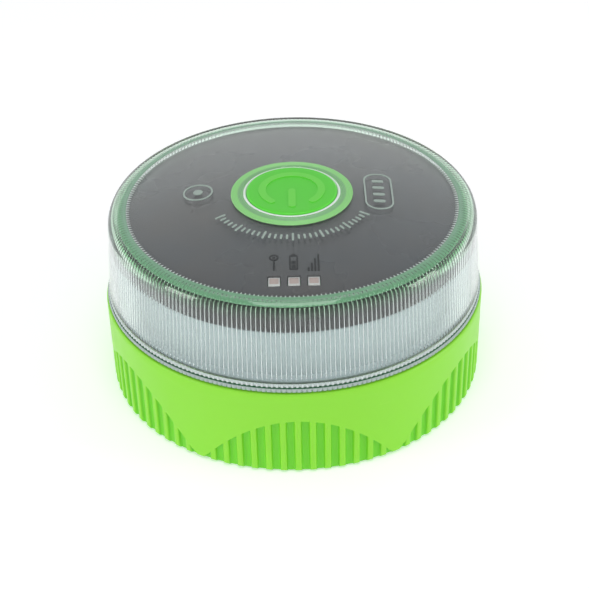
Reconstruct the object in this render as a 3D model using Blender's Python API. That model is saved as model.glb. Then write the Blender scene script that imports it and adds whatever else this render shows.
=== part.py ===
# Round LED road flare: grooved green base, clear lens, push button on top, battery door underneath.
# All sizes below are in millimetres. The origin is the centre of the foot ring's lower face, +Z is up
# and -Y is the front, where the three status LEDs are.

import math

import bmesh
import bpy
from mathutils import Matrix

MM = 0.001
GAP = 0.3

# Base housing
RIM_RADIUS = 49.0
BASE_BOTTOM = 0.5
BASE_TOP = 24.5
FLOOR_TOP = 4.2
BORE_RADIUS = 46.6
LEDGE_RADIUS = 44.0
LEDGE_TOP = 21.0
BASE_SEGMENTS = 84

# Grooves: six arches of fourteen, each arch a parabola
ARCHES = 6
GROOVES_PER_ARCH = 14
GROOVE_WIDTH = 2.1
GROOVE_DEPTH = 0.9
ARCH_TOP = 16.5
ARCH_DROP_PER_DEGREE_SQUARED = 0.0189

# Foot ring
FOOT_INNER = 44.5
FOOT_OUTER = 46.7
FOOT_HEIGHT = 0.8

# Battery door and opening
DOOR_HALF_X = 29.5
DOOR_HALF_Y = 27.8
DOOR_CORNER = 5.0
DOOR_BOTTOM = 0.6
DOOR_TOP = 1.9
DOOR_LEDGE = 3.1
OPENING_HALF_X = 22.1
OPENING_HALF_Y = 25.6
DOOR_SCREW_X = 26.2

# Battery compartment
CELL_RADIUS = 5.25
CELL_LENGTH = 44.5
CELL_PITCH = 10.8
CELL_CENTRE_Z = 10.4
TRAY_HALF_X = 23.0
TRAY_HALF_Y = 26.3
TRAY_WALL = 0.95
TRAY_BOTTOM = 4.5
TRAY_TOP = 16.9

# Screw posts and magnets alternate on one circle
FIXING_CIRCLE = 39.5
SCREW_ANGLES = (22.5, 112.5, 202.5, 292.5)
MAGNET_ANGLES = (67.5, 157.5, 247.5, 337.5)
MAGNET_RADIUS = 5.0
MAGNET_HEIGHT = 3.0
POCKET_WALL = 0.9

# Chassis and lamp
PLATE_BOTTOM = 20.5
PLATE_TOP = 22.5
PLATE_RADIUS = 43.4
DRUM_OUTER = 36.0
DRUM_INNER = 33.6
DRUM_TOP = 40.6
LAMP_LEDS = 12
LAMP_Z = 31.5
SLEEVE_OUTER = 43.7
SLEEVE_INNER = 42.5
SLEEVE_BOTTOM = 22.8
SLEEVE_TOP = 39.5

# Lens: the top is a shallow crown about the axis
LENS_BOTTOM = 22.6
SPIGOT_OUTER = 46.2
SPIGOT_INNER = 44.2
FLANGE_RADIUS = 48.6
WALL_LOW = (48.2, 26.1)
WALL_HIGH = (46.9, 45.1)
WALL_THICKNESS = 1.9
CORNER_RADIUS = 3.9
CROWN_APEX = 52.05
CROWN_RADIUS = 303.0
CROWN_THICKNESS = 1.8
RECESS_RADIUS = 15.7
RECESS_THICKNESS = 0.6
LENS_SEGMENTS = 60
BUTTON_HOLE = 12.3

# Black inner cover
COVER_DEPTH = 2.5
COVER_THICKNESS = 1.4
COVER_SKIRT_BOTTOM = 39.8
COVER_SKIRT_OUTER = 44.1
COVER_HOLE = 12.4

# Status LEDs
STATUS_NAMES = ("status_led_left", "status_led_middle", "status_led_right")
STATUS_PITCH = 4.7
STATUS_Y = -35.3
STATUS_SIZE = (2.8, 3.5, 1.9)
STATUS_BOTTOM = 45.1
STATUS_BOARD_TOP = 44.8

# Main board
BOARD_RADIUS = 39.5
BOARD_BOTTOM = 41.0
BOARD_TOP = 42.6

# Button and switch
CAP_RADIUS = 11.5
CAP_TOP = 51.9
CAP_BOTTOM = 47.6
SYMBOL_RADIUS = 7.5
SYMBOL_WIDTH = 1.85
SYMBOL_RISE = 0.15
SYMBOL_GAP_DEGREES = 43.0
FLANGE_RING_OUTER = 15.4
FLANGE_RING_INNER = 11.9
PLUNGER_RADIUS = 3.0
SWITCH_HALF = 6.0


def clear_scene():
    for item in list(bpy.data.objects):
        bpy.data.objects.remove(item, do_unlink=True)


def crown(radius):
    # Height of the lens's outer top face at this radius.
    return CROWN_APEX - radius * radius / (2 * CROWN_RADIUS)


def polar(radius, degrees):
    angle = math.radians(degrees)
    return radius * math.cos(angle), radius * math.sin(angle)


def material(name, colour, roughness, metallic=0.0, transmission=0.0):
    made = bpy.data.materials.new(name)
    made.use_nodes = True
    shader = made.node_tree.nodes["Principled BSDF"]
    shader.inputs["Base Color"].default_value = (*colour, 1.0)
    shader.inputs["Roughness"].default_value = roughness
    shader.inputs["Metallic"].default_value = metallic
    shader.inputs["Transmission Weight"].default_value = transmission
    made.diffuse_color = (*colour, 1.0)
    return made


def place(name, bm, look=None, smooth=30.0, origin=(0.0, 0.0, 0.0)):
    # Turns a millimetre bmesh into an object whose origin is at the given point.
    bmesh.ops.remove_doubles(bm, verts=bm.verts, dist=0.0005)
    bmesh.ops.recalc_face_normals(bm, faces=bm.faces)
    bmesh.ops.translate(bm, verts=bm.verts, vec=[-value for value in origin])
    bmesh.ops.scale(bm, verts=bm.verts, vec=(MM, MM, MM))
    mesh = bpy.data.meshes.new(name)
    bm.to_mesh(mesh)
    bm.free()
    made = bpy.data.objects.new(name, mesh)
    made.location = [value * MM for value in origin]
    bpy.context.scene.collection.objects.link(made)
    mesh.shade_smooth()
    mesh.set_sharp_from_angle(angle=math.radians(smooth))
    if look:
        mesh.materials.append(look)
    return made


def spun(bm, profile, segments, centre=(0.0, 0.0)):
    # Adds one body turned about a vertical axis. A profile that touches the axis at both ends is left open
    # there, and any other profile is closed into a ring.
    points = [bm.verts.new((centre[0] + r, centre[1], z)) for r, z in profile]
    edges = [bm.edges.new(pair) for pair in zip(points, points[1:])]
    if profile[0][0] > 0 or profile[-1][0] > 0:
        edges.append(bm.edges.new((points[-1], points[0])))
    bmesh.ops.spin(
        bm,
        geom=points + edges,
        cent=(centre[0], centre[1], 0.0),
        axis=(0.0, 0.0, 1.0),
        angle=math.tau,
        steps=segments,
        use_merge=True,
    )
    bmesh.ops.remove_doubles(bm, verts=bm.verts, dist=0.0005)


def revolve(name, profile, segments, look=None, smooth=30.0, origin=(0.0, 0.0, 0.0)):
    bm = bmesh.new()
    spun(bm, profile, segments)
    return place(name, bm, look, smooth, origin)


def rod(bm, radius, bottom, top, centre=(0.0, 0.0), segments=24):
    depth = top - bottom
    spot = Matrix.Translation((centre[0], centre[1], bottom + depth / 2))
    bmesh.ops.create_cone(
        bm,
        cap_ends=True,
        segments=segments,
        radius1=radius,
        radius2=radius,
        depth=depth,
        matrix=spot,
    )


def block(bm, size, centre, turn=0.0):
    spot = Matrix.Rotation(math.radians(turn), 4, "Z") @ Matrix.Translation(centre)
    made = bmesh.ops.create_cube(bm, size=1.0)["verts"]
    bmesh.ops.scale(bm, verts=made, vec=size)
    bmesh.ops.transform(bm, verts=made, matrix=spot)


def slab(bm, half_x, half_y, corner, bottom, top, steps=4):
    # A plate with rounded corners.
    points = []
    for sx, sy, start in ((1, 1, 0), (-1, 1, 90), (-1, -1, 180), (1, -1, 270)):
        for step in range(steps + 1):
            x, y = polar(corner, start + 90 * step / steps)
            points.append((sx * (half_x - corner) + x, sy * (half_y - corner) + y))
    lower = bm.faces.new([bm.verts.new((x, y, bottom)) for x, y in points])
    raised = bmesh.ops.extrude_face_region(bm, geom=[lower])["geom"]
    verts = [item for item in raised if isinstance(item, bmesh.types.BMVert)]
    bmesh.ops.translate(bm, verts=verts, vec=(0.0, 0.0, top - bottom))


def softened(target, width, segments=2):
    edge = target.modifiers.new("soft_edges", "BEVEL")
    edge.width = width * MM
    edge.segments = segments
    edge.limit_method = "ANGLE"
    edge.angle_limit = math.radians(40)


def combine(target, bm, name, operation):
    # Cuts the tool body out of the target, or joins it on.
    tool = place(name, bm)
    tool.hide_render = True
    tool.display_type = "WIRE"
    step = target.modifiers.new(name, "BOOLEAN")
    step.operation = operation
    step.object = tool
    step.solver = "EXACT"


def green_plastic():
    return material("green_plastic", (0.33, 0.78, 0.07), 0.38)


def pale_green_silicone():
    return material("pale_green_silicone", (0.45, 0.85, 0.35), 0.45)


def bright_green_silicone():
    return material("bright_green_silicone", (0.11, 0.68, 0.07), 0.42)


def clear_plastic():
    return material("clear_plastic", (0.93, 0.97, 0.95), 0.05, transmission=1.0)


def frosted_plastic():
    return material("frosted_plastic", (0.62, 0.68, 0.69), 0.5)


def black_plastic():
    return material("black_plastic", (0.045, 0.05, 0.055), 0.35)


def white_plastic():
    return material("white_plastic", (0.8, 0.8, 0.78), 0.45)


def black_rubber():
    return material("black_rubber", (0.02, 0.02, 0.02), 0.8)


def seal_rubber():
    return material("seal_rubber", (0.03, 0.12, 0.05), 0.7)


def steel():
    return material("steel", (0.6, 0.6, 0.6), 0.3, 1.0)


def magnet_plating():
    return material("magnet_plating", (0.55, 0.56, 0.58), 0.22, 1.0)


def board_laminate():
    return material("board_laminate", (0.02, 0.16, 0.06), 0.4)


def chip_plastic():
    return material("chip_plastic", (0.03, 0.03, 0.035), 0.45)


def antenna_ceramic():
    return material("antenna_ceramic", (0.62, 0.55, 0.42), 0.5)


def cell_label():
    return material("cell_label", (0.05, 0.12, 0.32), 0.3)


def led_package():
    return material("led_package", (0.86, 0.78, 0.76), 0.3)


def lamp_package():
    return material("lamp_package", (0.85, 0.72, 0.3), 0.35)


def strip_film():
    return material("strip_film", (0.82, 0.82, 0.8), 0.4)


def red_lead():
    return material("red_lead", (0.55, 0.02, 0.02), 0.45)


def black_lead():
    return material("black_lead", (0.02, 0.02, 0.02), 0.45)


def base_profile():
    return [
        (0.0, BASE_BOTTOM),
        (FOOT_INNER - GAP, BASE_BOTTOM),
        (FOOT_INNER - GAP, FOOT_HEIGHT + GAP),
        (FOOT_OUTER + GAP, FOOT_HEIGHT + GAP),
        (FOOT_OUTER + GAP, BASE_BOTTOM),
        (RIM_RADIUS - 1.1, BASE_BOTTOM),
        (RIM_RADIUS - 0.45, 0.9),
        (RIM_RADIUS - 0.2, 1.8),
        (RIM_RADIUS, BASE_TOP - 0.7),
        (RIM_RADIUS - 0.25, BASE_TOP - 0.1),
        (RIM_RADIUS - 0.6, BASE_TOP),
        (BORE_RADIUS, BASE_TOP),
        (BORE_RADIUS, LEDGE_TOP),
        (LEDGE_RADIUS, LEDGE_TOP),
        (LEDGE_RADIUS, LEDGE_TOP - 1.2),
        (BORE_RADIUS, LEDGE_TOP - 3.8),
        (BORE_RADIUS, FLOOR_TOP),
        (0.0, FLOOR_TOP),
    ]


def arch_height(offset):
    # Height of an arch's outline, with the offset from its middle in degrees.
    return ARCH_TOP - ARCH_DROP_PER_DEGREE_SQUARED * offset * offset


def groove_cutters():
    # One bar for each groove. Its top face slopes along the arch's outline.
    bm = bmesh.new()
    pitch = 360 / (ARCHES * GROOVES_PER_ARCH)
    centre = Matrix.Translation((RIM_RADIUS - GROOVE_DEPTH + 1.0, 0.0, 0.0))
    for arch in range(ARCHES):
        for groove in range(GROOVES_PER_ARCH):
            offset = (groove - (GROOVES_PER_ARCH - 1) / 2) * pitch
            bar = bmesh.ops.create_cube(bm, size=1.0)["verts"]
            for vert in bar:
                vert.co.x *= 2.0
                vert.co.y *= GROOVE_WIDTH
                edge = offset + math.degrees(vert.co.y / RIM_RADIUS)
                vert.co.z = arch_height(edge) if vert.co.z > 0 else BASE_BOTTOM - 1.0
            turn = Matrix.Rotation(math.radians(arch * 360 / ARCHES + offset - 90), 4, "Z")
            bmesh.ops.transform(bm, verts=bar, matrix=turn @ centre)
    return bm


def floor_pockets():
    # Rings that hold the magnets and bosses that take the door screws.
    bm = bmesh.new()
    inner = MAGNET_RADIUS + GAP
    sunk = FLOOR_TOP - 0.5
    for angle in MAGNET_ANGLES:
        wall = [
            (inner, sunk),
            (inner + POCKET_WALL, sunk),
            (inner + POCKET_WALL, FLOOR_TOP + 2.8),
            (inner, FLOOR_TOP + 2.8),
        ]
        spun(bm, wall, 16, polar(FIXING_CIRCLE, angle))
    for side in (-1, 1):
        rod(bm, 2.8, sunk, FLOOR_TOP + 5.0, (side * DOOR_SCREW_X, 0.0), 20)
    return bm


def floor_cuts():
    bm = bmesh.new()
    slab(
        bm,
        DOOR_HALF_X + GAP,
        DOOR_HALF_Y + GAP,
        DOOR_CORNER + GAP,
        BASE_BOTTOM - 1.0,
        DOOR_LEDGE,
    )
    return bm


def floor_opening():
    bm = bmesh.new()
    slab(bm, OPENING_HALF_X, OPENING_HALF_Y, 1.5, DOOR_LEDGE - 1.0, FLOOR_TOP + 1.0, 2)
    for side in (-1, 1):
        rod(bm, 1.5, DOOR_LEDGE - 1.0, FLOOR_TOP + 4.0, (side * DOOR_SCREW_X, 0.0), 16)
    for angle in SCREW_ANGLES:
        rod(bm, 1.8, 1.0, FLOOR_TOP + 1.0, polar(FIXING_CIRCLE, angle), 16)
    return bm


def screw_head_pockets():
    bm = bmesh.new()
    for angle in SCREW_ANGLES:
        rod(bm, 3.1, BASE_BOTTOM - 1.0, 2.3, polar(FIXING_CIRCLE, angle), 20)
    return bm


def build_base():
    turned = revolve("base_housing", base_profile(), BASE_SEGMENTS, green_plastic())
    combine(turned, floor_pockets(), "floor_pocket_tool", "UNION")
    combine(turned, groove_cutters(), "groove_tool", "DIFFERENCE")
    combine(turned, floor_cuts(), "door_pocket_tool", "DIFFERENCE")
    combine(turned, floor_opening(), "opening_tool", "DIFFERENCE")
    combine(turned, screw_head_pockets(), "head_pocket_tool", "DIFFERENCE")


def ring(name, inner, outer, bottom, top, segments, look):
    profile = [(inner, bottom), (outer, bottom), (outer, top), (inner, top)]
    return revolve(name, profile, segments, look)


def build_foot():
    ring("foot_ring", FOOT_INNER, FOOT_OUTER, 0.0, FOOT_HEIGHT, 56, black_rubber())


def build_magnets():
    look = magnet_plating()
    for number, angle in enumerate(MAGNET_ANGLES, 1):
        bm = bmesh.new()
        bottom = FLOOR_TOP + GAP
        spot = polar(FIXING_CIRCLE, angle)
        rod(bm, MAGNET_RADIUS, bottom, bottom + MAGNET_HEIGHT, spot, 20)
        place(f"magnet_{number}", bm, look)


def screw(name, spot, head, look, bottom, top):
    # A pan-head screw, head down, with a hexagonal socket.
    head_radius, head_top, shank_radius = head
    profile = [
        (0.0, bottom + 0.9),
        (1.0, bottom + 0.9),
        (1.0, bottom),
        (head_radius - 0.4, bottom),
        (head_radius, bottom + 0.4),
        (head_radius, head_top),
        (shank_radius, head_top),
        (shank_radius, top - 0.8),
        (0.4, top),
        (0.0, top),
    ]
    bm = bmesh.new()
    spun(bm, profile, 12, spot)
    place(name, bm, look)


def build_case_screws():
    look = steel()
    for number, angle in enumerate(SCREW_ANGLES, 1):
        spot = polar(FIXING_CIRCLE, angle)
        screw(f"case_screw_{number}", spot, (2.8, 2.0, 1.5), look, 0.6, 13.0)


def build_door():
    look = green_plastic()
    bm = bmesh.new()
    slab(bm, DOOR_HALF_X, DOOR_HALF_Y, DOOR_CORNER, DOOR_BOTTOM, DOOR_TOP)
    door = place("battery_door", bm, look)
    holes = bmesh.new()
    for side in (-1, 1):
        rod(holes, 2.4, DOOR_BOTTOM - 1.0, 1.2, (side * DOOR_SCREW_X, 0.0), 20)
    combine(door, holes, "door_counterbore_tool", "DIFFERENCE")
    bores = bmesh.new()
    for side in (-1, 1):
        rod(bores, 1.5, 0.0, DOOR_TOP + 1.0, (side * DOOR_SCREW_X, 0.0), 16)
    combine(door, bores, "door_bore_tool", "DIFFERENCE")
    plated = steel()
    for name, side in (("door_screw_left", -1), ("door_screw_right", 1)):
        door_screw(name, (side * DOOR_SCREW_X, 0.0), plated)


def door_screw(name, spot, look):
    profile = [
        (0.0, 0.75),
        (1.7, 0.65),
        (2.1, 0.9),
        (1.2, 0.92),
        (1.2, 6.4),
        (0.4, 7.0),
        (0.0, 7.0),
    ]
    bm = bmesh.new()
    spun(bm, profile, 12, spot)
    place(name, bm, look)


def build_door_gasket():
    bottom = DOOR_TOP + GAP
    top = DOOR_LEDGE - GAP
    bm = bmesh.new()
    slab(bm, OPENING_HALF_X + 2.2, OPENING_HALF_Y + 1.8, 2.5, bottom, top, 3)
    gasket = place("door_gasket", bm, black_rubber())
    inner = bmesh.new()
    slab(inner, OPENING_HALF_X + 0.5, OPENING_HALF_Y + 0.4, 1.5, bottom - 1, top + 1, 3)
    combine(gasket, inner, "gasket_inner_tool", "DIFFERENCE")


def build_battery_tray():
    bm = bmesh.new()
    slab(bm, TRAY_HALF_X, TRAY_HALF_Y, 1.2, TRAY_BOTTOM, TRAY_TOP, 2)
    tray = place("battery_tray", bm, black_plastic())
    hollow = bmesh.new()
    size = (2 * (TRAY_HALF_X - TRAY_WALL), 2 * (TRAY_HALF_Y - TRAY_WALL), 12.4)
    block(hollow, size, (0.0, 0.0, TRAY_TOP - 1.0 - size[2] / 2))
    combine(tray, hollow, "tray_hollow_tool", "DIFFERENCE")


def cell(name, x, flip, look):
    half = CELL_LENGTH / 2
    profile = [
        (0.0, -half),
        (CELL_RADIUS - 0.4, -half),
        (CELL_RADIUS, -half + 0.4),
        (CELL_RADIUS, half - 1.4),
        (CELL_RADIUS - 0.6, half - 0.9),
        (1.9, half - 0.9),
        (1.9, half),
        (0.0, half),
    ]
    bm = bmesh.new()
    spun(bm, profile, 16)
    turn = Matrix.Rotation(math.radians(90 if flip else -90), 4, "X")
    bmesh.ops.transform(bm, verts=bm.verts, matrix=turn)
    bmesh.ops.translate(bm, verts=bm.verts, vec=(x, 0.0, CELL_CENTRE_Z))
    place(name, bm, look)


def build_cells():
    look = cell_label()
    for number in range(4):
        cell(f"battery_cell_{number + 1}", (number - 1.5) * CELL_PITCH, number % 2, look)


def contact_plate(name, side, look):
    # A thin plate with one pressed dome for each cell.
    face = side * (TRAY_HALF_Y - TRAY_WALL - GAP - 0.2)
    bm = bmesh.new()
    block(bm, (42.4, 0.4, 9.0), (0.0, face, CELL_CENTRE_Z))
    plate = place(name, bm, look)
    domes = bmesh.new()
    reach = abs(face) - CELL_LENGTH / 2 - GAP
    for number in range(4):
        spot = Matrix.Translation(
            ((number - 1.5) * CELL_PITCH, face - side * (reach / 2 - 0.05), CELL_CENTRE_Z)
        )
        lean = Matrix.Rotation(math.radians(90 * side), 4, "X")
        bmesh.ops.create_cone(
            domes,
            cap_ends=True,
            segments=12,
            radius1=2.6,
            radius2=1.2,
            depth=reach,
            matrix=spot @ lean,
        )
    combine(plate, domes, name + "_dome_tool", "UNION")


def build_contacts():
    look = steel()
    contact_plate("contact_plate_back", 1, look)
    contact_plate("contact_plate_front", -1, look)


def build_chassis():
    profile = [
        (10.0, PLATE_BOTTOM),
        (PLATE_RADIUS, PLATE_BOTTOM),
        (PLATE_RADIUS, PLATE_TOP),
        (DRUM_OUTER, PLATE_TOP),
        (DRUM_OUTER, DRUM_TOP),
        (DRUM_INNER, DRUM_TOP),
        (DRUM_INNER, PLATE_TOP),
        (10.0, PLATE_TOP),
    ]
    chassis = revolve("chassis", profile, 48, white_plastic())
    posts = bmesh.new()
    bores = bmesh.new()
    for angle in SCREW_ANGLES:
        spot = polar(FIXING_CIRCLE, angle)
        rod(posts, 3.4, FLOOR_TOP + GAP, PLATE_BOTTOM + 0.5, spot, 12)
        rod(bores, 1.8, FLOOR_TOP - 1.0, 14.0, spot, 12)
    for side in (-1, 1):
        rod(bores, 1.6, PLATE_BOTTOM - 1.0, PLATE_TOP + 1.0, (side * 6.0, 20.0), 12)
    combine(chassis, posts, "post_tool", "UNION")
    combine(chassis, bores, "bore_tool", "DIFFERENCE")


def build_lamp():
    inner = DRUM_OUTER + GAP
    ring("lamp_strip", inner, inner + 0.4, LAMP_Z - 4.0, LAMP_Z + 4.0, 48, strip_film())
    look = lamp_package()
    for number in range(LAMP_LEDS):
        bm = bmesh.new()
        centre = (inner + 0.4 + GAP + 0.7, 0.0, LAMP_Z)
        block(bm, (1.4, 3.5, 2.8), centre, 15 + 360 * number / LAMP_LEDS)
        place(f"lamp_led_{number + 1:02d}", bm, look)


def build_sleeve():
    ring(
        "diffuser_sleeve",
        SLEEVE_INNER,
        SLEEVE_OUTER,
        SLEEVE_BOTTOM,
        SLEEVE_TOP,
        LENS_SEGMENTS,
        frosted_plastic(),
    )


def build_lens_seal():
    ring(
        "lens_seal",
        LEDGE_RADIUS + 0.5,
        BORE_RADIUS - 0.5,
        LEDGE_TOP + GAP,
        LENS_BOTTOM - GAP,
        56,
        seal_rubber(),
    )


def corner_arc(radius, centre, steps):
    # Quarter turn from straight out to straight up about the corner's centre.
    angles = (math.pi / 2 * step / steps for step in range(steps + 1))
    return [
        (centre[0] + radius * math.cos(angle), centre[1] + radius * math.sin(angle))
        for angle in angles
    ]


def lens_profile():
    centre = (WALL_HIGH[0] - CORNER_RADIUS, WALL_HIGH[1])
    outer_arc = corner_arc(CORNER_RADIUS, centre, 4)
    inner_arc = corner_arc(CORNER_RADIUS - WALL_THICKNESS, centre, 2)
    crown_radii = (28.0, BUTTON_HOLE + 0.4)
    outer = [(r, crown(r)) for r in crown_radii]
    inner = [(r, crown(r) - RECESS_THICKNESS) for r in (BUTTON_HOLE, RECESS_RADIUS)]
    inner += [(r, crown(r) - CROWN_THICKNESS) for r in (RECESS_RADIUS, 28.0)]
    return (
        [
            (SPIGOT_INNER, LENS_BOTTOM),
            (SPIGOT_OUTER, LENS_BOTTOM),
            (SPIGOT_OUTER, BASE_TOP + GAP),
            (FLANGE_RADIUS, BASE_TOP + GAP),
            (FLANGE_RADIUS, WALL_LOW[1] - 0.3),
            WALL_LOW,
        ]
        + outer_arc
        + outer
        + [(BUTTON_HOLE, crown(BUTTON_HOLE) - 0.4)]
        + inner
        + inner_arc[::-1]
        + [(WALL_LOW[0] - WALL_THICKNESS, WALL_LOW[1])]
    )


def build_lens():
    revolve("lens_cover", lens_profile(), LENS_SEGMENTS, clear_plastic())


def cover_profile():
    def top(radius):
        return crown(radius) - COVER_DEPTH

    outer = COVER_SKIRT_OUTER
    wall = outer - 1.2
    return [
        (outer, COVER_SKIRT_BOTTOM),
        (outer - 0.2, 44.3),
        (outer - 0.9, 45.5),
        (outer - 2.1, 46.15),
        (28.0, top(28.0)),
        (COVER_HOLE, top(COVER_HOLE)),
        (COVER_HOLE, top(COVER_HOLE) - COVER_THICKNESS),
        (28.0, top(28.0) - COVER_THICKNESS),
        (wall - 1.2, 44.7),
        (wall - 0.2, 43.9),
        (wall, COVER_SKIRT_BOTTOM),
    ]


def status_spots():
    return [(name, (number - 1) * STATUS_PITCH) for number, name in enumerate(STATUS_NAMES)]


def build_inner_cover():
    cover = revolve("inner_cover", cover_profile(), LENS_SEGMENTS, black_plastic())
    windows = bmesh.new()
    for _, x in status_spots():
        size = (STATUS_SIZE[0] + 0.6, STATUS_SIZE[1] + 0.6, 6.0)
        block(windows, size, (x, STATUS_Y, 46.0))
    combine(cover, windows, "window_tool", "DIFFERENCE")


def build_status_leds():
    look = led_package()
    for name, x in status_spots():
        bm = bmesh.new()
        block(bm, STATUS_SIZE, (x, STATUS_Y, STATUS_BOTTOM + STATUS_SIZE[2] / 2))
        softened(place(name, bm, look), 0.15, 1)
    board = bmesh.new()
    block(board, (16.0, 5.2, 0.8), (0.0, STATUS_Y + 0.6, STATUS_BOARD_TOP - 0.4))
    place("status_board", board, board_laminate())


def chip(name, size, spot, look):
    bm = bmesh.new()
    block(bm, size, (spot[0], spot[1], BOARD_TOP + GAP + size[2] / 2))
    softened(place(name, bm, look), 0.2, 1)


def build_main_board():
    bm = bmesh.new()
    rod(bm, BOARD_RADIUS, BOARD_BOTTOM, BOARD_TOP, segments=56)
    place("main_board", bm, board_laminate())
    dark = chip_plastic()
    chip("positioning_antenna", (18.0, 18.0, 2.6), (0.0, 19.5), antenna_ceramic())
    chip("cellular_module", (16.0, 18.0, 2.3), (-20.0, -6.0), steel())
    chip("controller_chip", (9.0, 9.0, 1.2), (18.5, -2.0), dark)
    chip("sim_chip", (5.0, 6.0, 0.9), (-8.0, -20.0), dark)
    chip("driver_chip", (6.0, 5.0, 1.4), (12.0, -18.0), dark)


def build_switch():
    bm = bmesh.new()
    bottom = BOARD_TOP + GAP
    height = 3.5
    block(bm, (2 * SWITCH_HALF, 2 * SWITCH_HALF, height), (0.0, 0.0, bottom + height / 2))
    body = place("switch_body", bm, chip_plastic())
    bore = bmesh.new()
    rod(bore, PLUNGER_RADIUS + GAP, bottom + 1.2, bottom + height + 1.0, segments=20)
    combine(body, bore, "switch_bore_tool", "DIFFERENCE")
    profile = [
        (0.0, 45.5),
        (PLUNGER_RADIUS, 45.5),
        (PLUNGER_RADIUS, 47.0),
        (PLUNGER_RADIUS - 0.3, CAP_BOTTOM - GAP),
        (0.0, CAP_BOTTOM - GAP),
    ]
    revolve("switch_plunger", profile, 20, white_plastic(), origin=(0.0, 0.0, 45.5))


def symbol_arc():
    # Round-ended open arc of the power symbol, gap toward the front.
    bm = bmesh.new()
    bottom = CAP_TOP - 0.8
    top = CAP_TOP + SYMBOL_RISE
    half = SYMBOL_WIDTH / 2
    first = -90 + SYMBOL_GAP_DEGREES
    last = 270 - SYMBOL_GAP_DEGREES
    steps = 20
    outline = []
    for step in range(steps + 1):
        outline.append(polar(SYMBOL_RADIUS + half, first + (last - first) * step / steps))
    outline += round_end(polar(SYMBOL_RADIUS, last), last, half)
    for step in range(steps, -1, -1):
        outline.append(polar(SYMBOL_RADIUS - half, first + (last - first) * step / steps))
    outline += round_end(polar(SYMBOL_RADIUS, first), first + 180, half)
    raise_outline(bm, outline, bottom, top)
    return bm


def round_end(centre, start, radius):
    spots = []
    for step in (1, 2, 3):
        x, y = polar(radius, start + 45 * step)
        spots.append((centre[0] + x, centre[1] + y))
    return spots


def raise_outline(bm, outline, bottom, top):
    lower = bm.faces.new([bm.verts.new((x, y, bottom)) for x, y in outline])
    raised = bmesh.ops.extrude_face_region(bm, geom=[lower])["geom"]
    verts = [item for item in raised if isinstance(item, bmesh.types.BMVert)]
    bmesh.ops.translate(bm, verts=verts, vec=(0.0, 0.0, top - bottom))


def symbol_bar():
    bm = bmesh.new()
    half = SYMBOL_WIDTH / 2
    slab(bm, half, 4.4, half * 0.98, CAP_TOP - 0.8, CAP_TOP + SYMBOL_RISE, 4)
    bmesh.ops.translate(bm, verts=bm.verts, vec=(0.0, -4.1, 0.0))
    return bm


def build_button():
    profile = [
        (0.0, CAP_TOP),
        (CAP_RADIUS - 0.5, CAP_TOP),
        (CAP_RADIUS - 0.12, CAP_TOP - 0.15),
        (CAP_RADIUS, CAP_TOP - 0.5),
        (CAP_RADIUS, CAP_BOTTOM),
        (CAP_RADIUS - 1.4, CAP_BOTTOM),
        (CAP_RADIUS - 1.4, CAP_TOP - 1.6),
        (PLUNGER_RADIUS, CAP_TOP - 1.6),
        (PLUNGER_RADIUS, CAP_BOTTOM),
        (0.0, CAP_BOTTOM),
    ]
    look = bright_green_silicone()
    cap = revolve("button_cap", profile, 40, look, origin=(0.0, 0.0, CAP_BOTTOM))
    combine(cap, symbol_arc(), "symbol_arc_tool", "UNION")
    combine(cap, symbol_bar(), "symbol_bar_tool", "UNION")
    top = crown(FLANGE_RING_OUTER) - RECESS_THICKNESS - GAP
    ring(
        "button_flange",
        FLANGE_RING_INNER,
        FLANGE_RING_OUTER,
        top - 0.55,
        top,
        48,
        pale_green_silicone(),
    )


def lead(name, x, look):
    # A round lead from the battery tray up through the chassis plate to the underside of the board.
    curve = bpy.data.curves.new(name, "CURVE")
    curve.dimensions = "3D"
    curve.bevel_depth = 0.6 * MM
    curve.bevel_resolution = 1
    curve.resolution_u = 4
    curve.use_fill_caps = True
    route = (
        (x * 2.4, 14.0, TRAY_TOP + 1.0),
        (x * 1.6, 18.0, TRAY_TOP + 1.3),
        (x, 20.0, PLATE_BOTTOM + 1.0),
        (x * 1.2, 21.0, 28.0),
        (x * 2.0, 18.0, 36.0),
        (x * 2.0, 17.0, BOARD_BOTTOM - 0.5),
    )
    line = curve.splines.new("BEZIER")
    line.bezier_points.add(len(route) - 1)
    for point, spot in zip(line.bezier_points, route):
        point.co = [value * MM for value in spot]
        point.handle_left_type = "AUTO"
        point.handle_right_type = "AUTO"
    made = bpy.data.objects.new(name, curve)
    bpy.context.scene.collection.objects.link(made)
    curve.materials.append(look)


def build_leads():
    lead("lead_positive", 6.0, red_lead())
    lead("lead_negative", -6.0, black_lead())


def main():
    clear_scene()
    build_base()
    build_foot()
    build_magnets()
    build_case_screws()
    build_door()
    build_door_gasket()
    build_battery_tray()
    build_cells()
    build_contacts()
    build_chassis()
    build_lamp()
    build_sleeve()
    build_lens_seal()
    build_lens()
    build_inner_cover()
    build_status_leds()
    build_main_board()
    build_switch()
    build_button()
    build_leads()


main()
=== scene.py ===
import math

import bmesh
import bpy
from mathutils import Matrix, Quaternion, Vector


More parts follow.
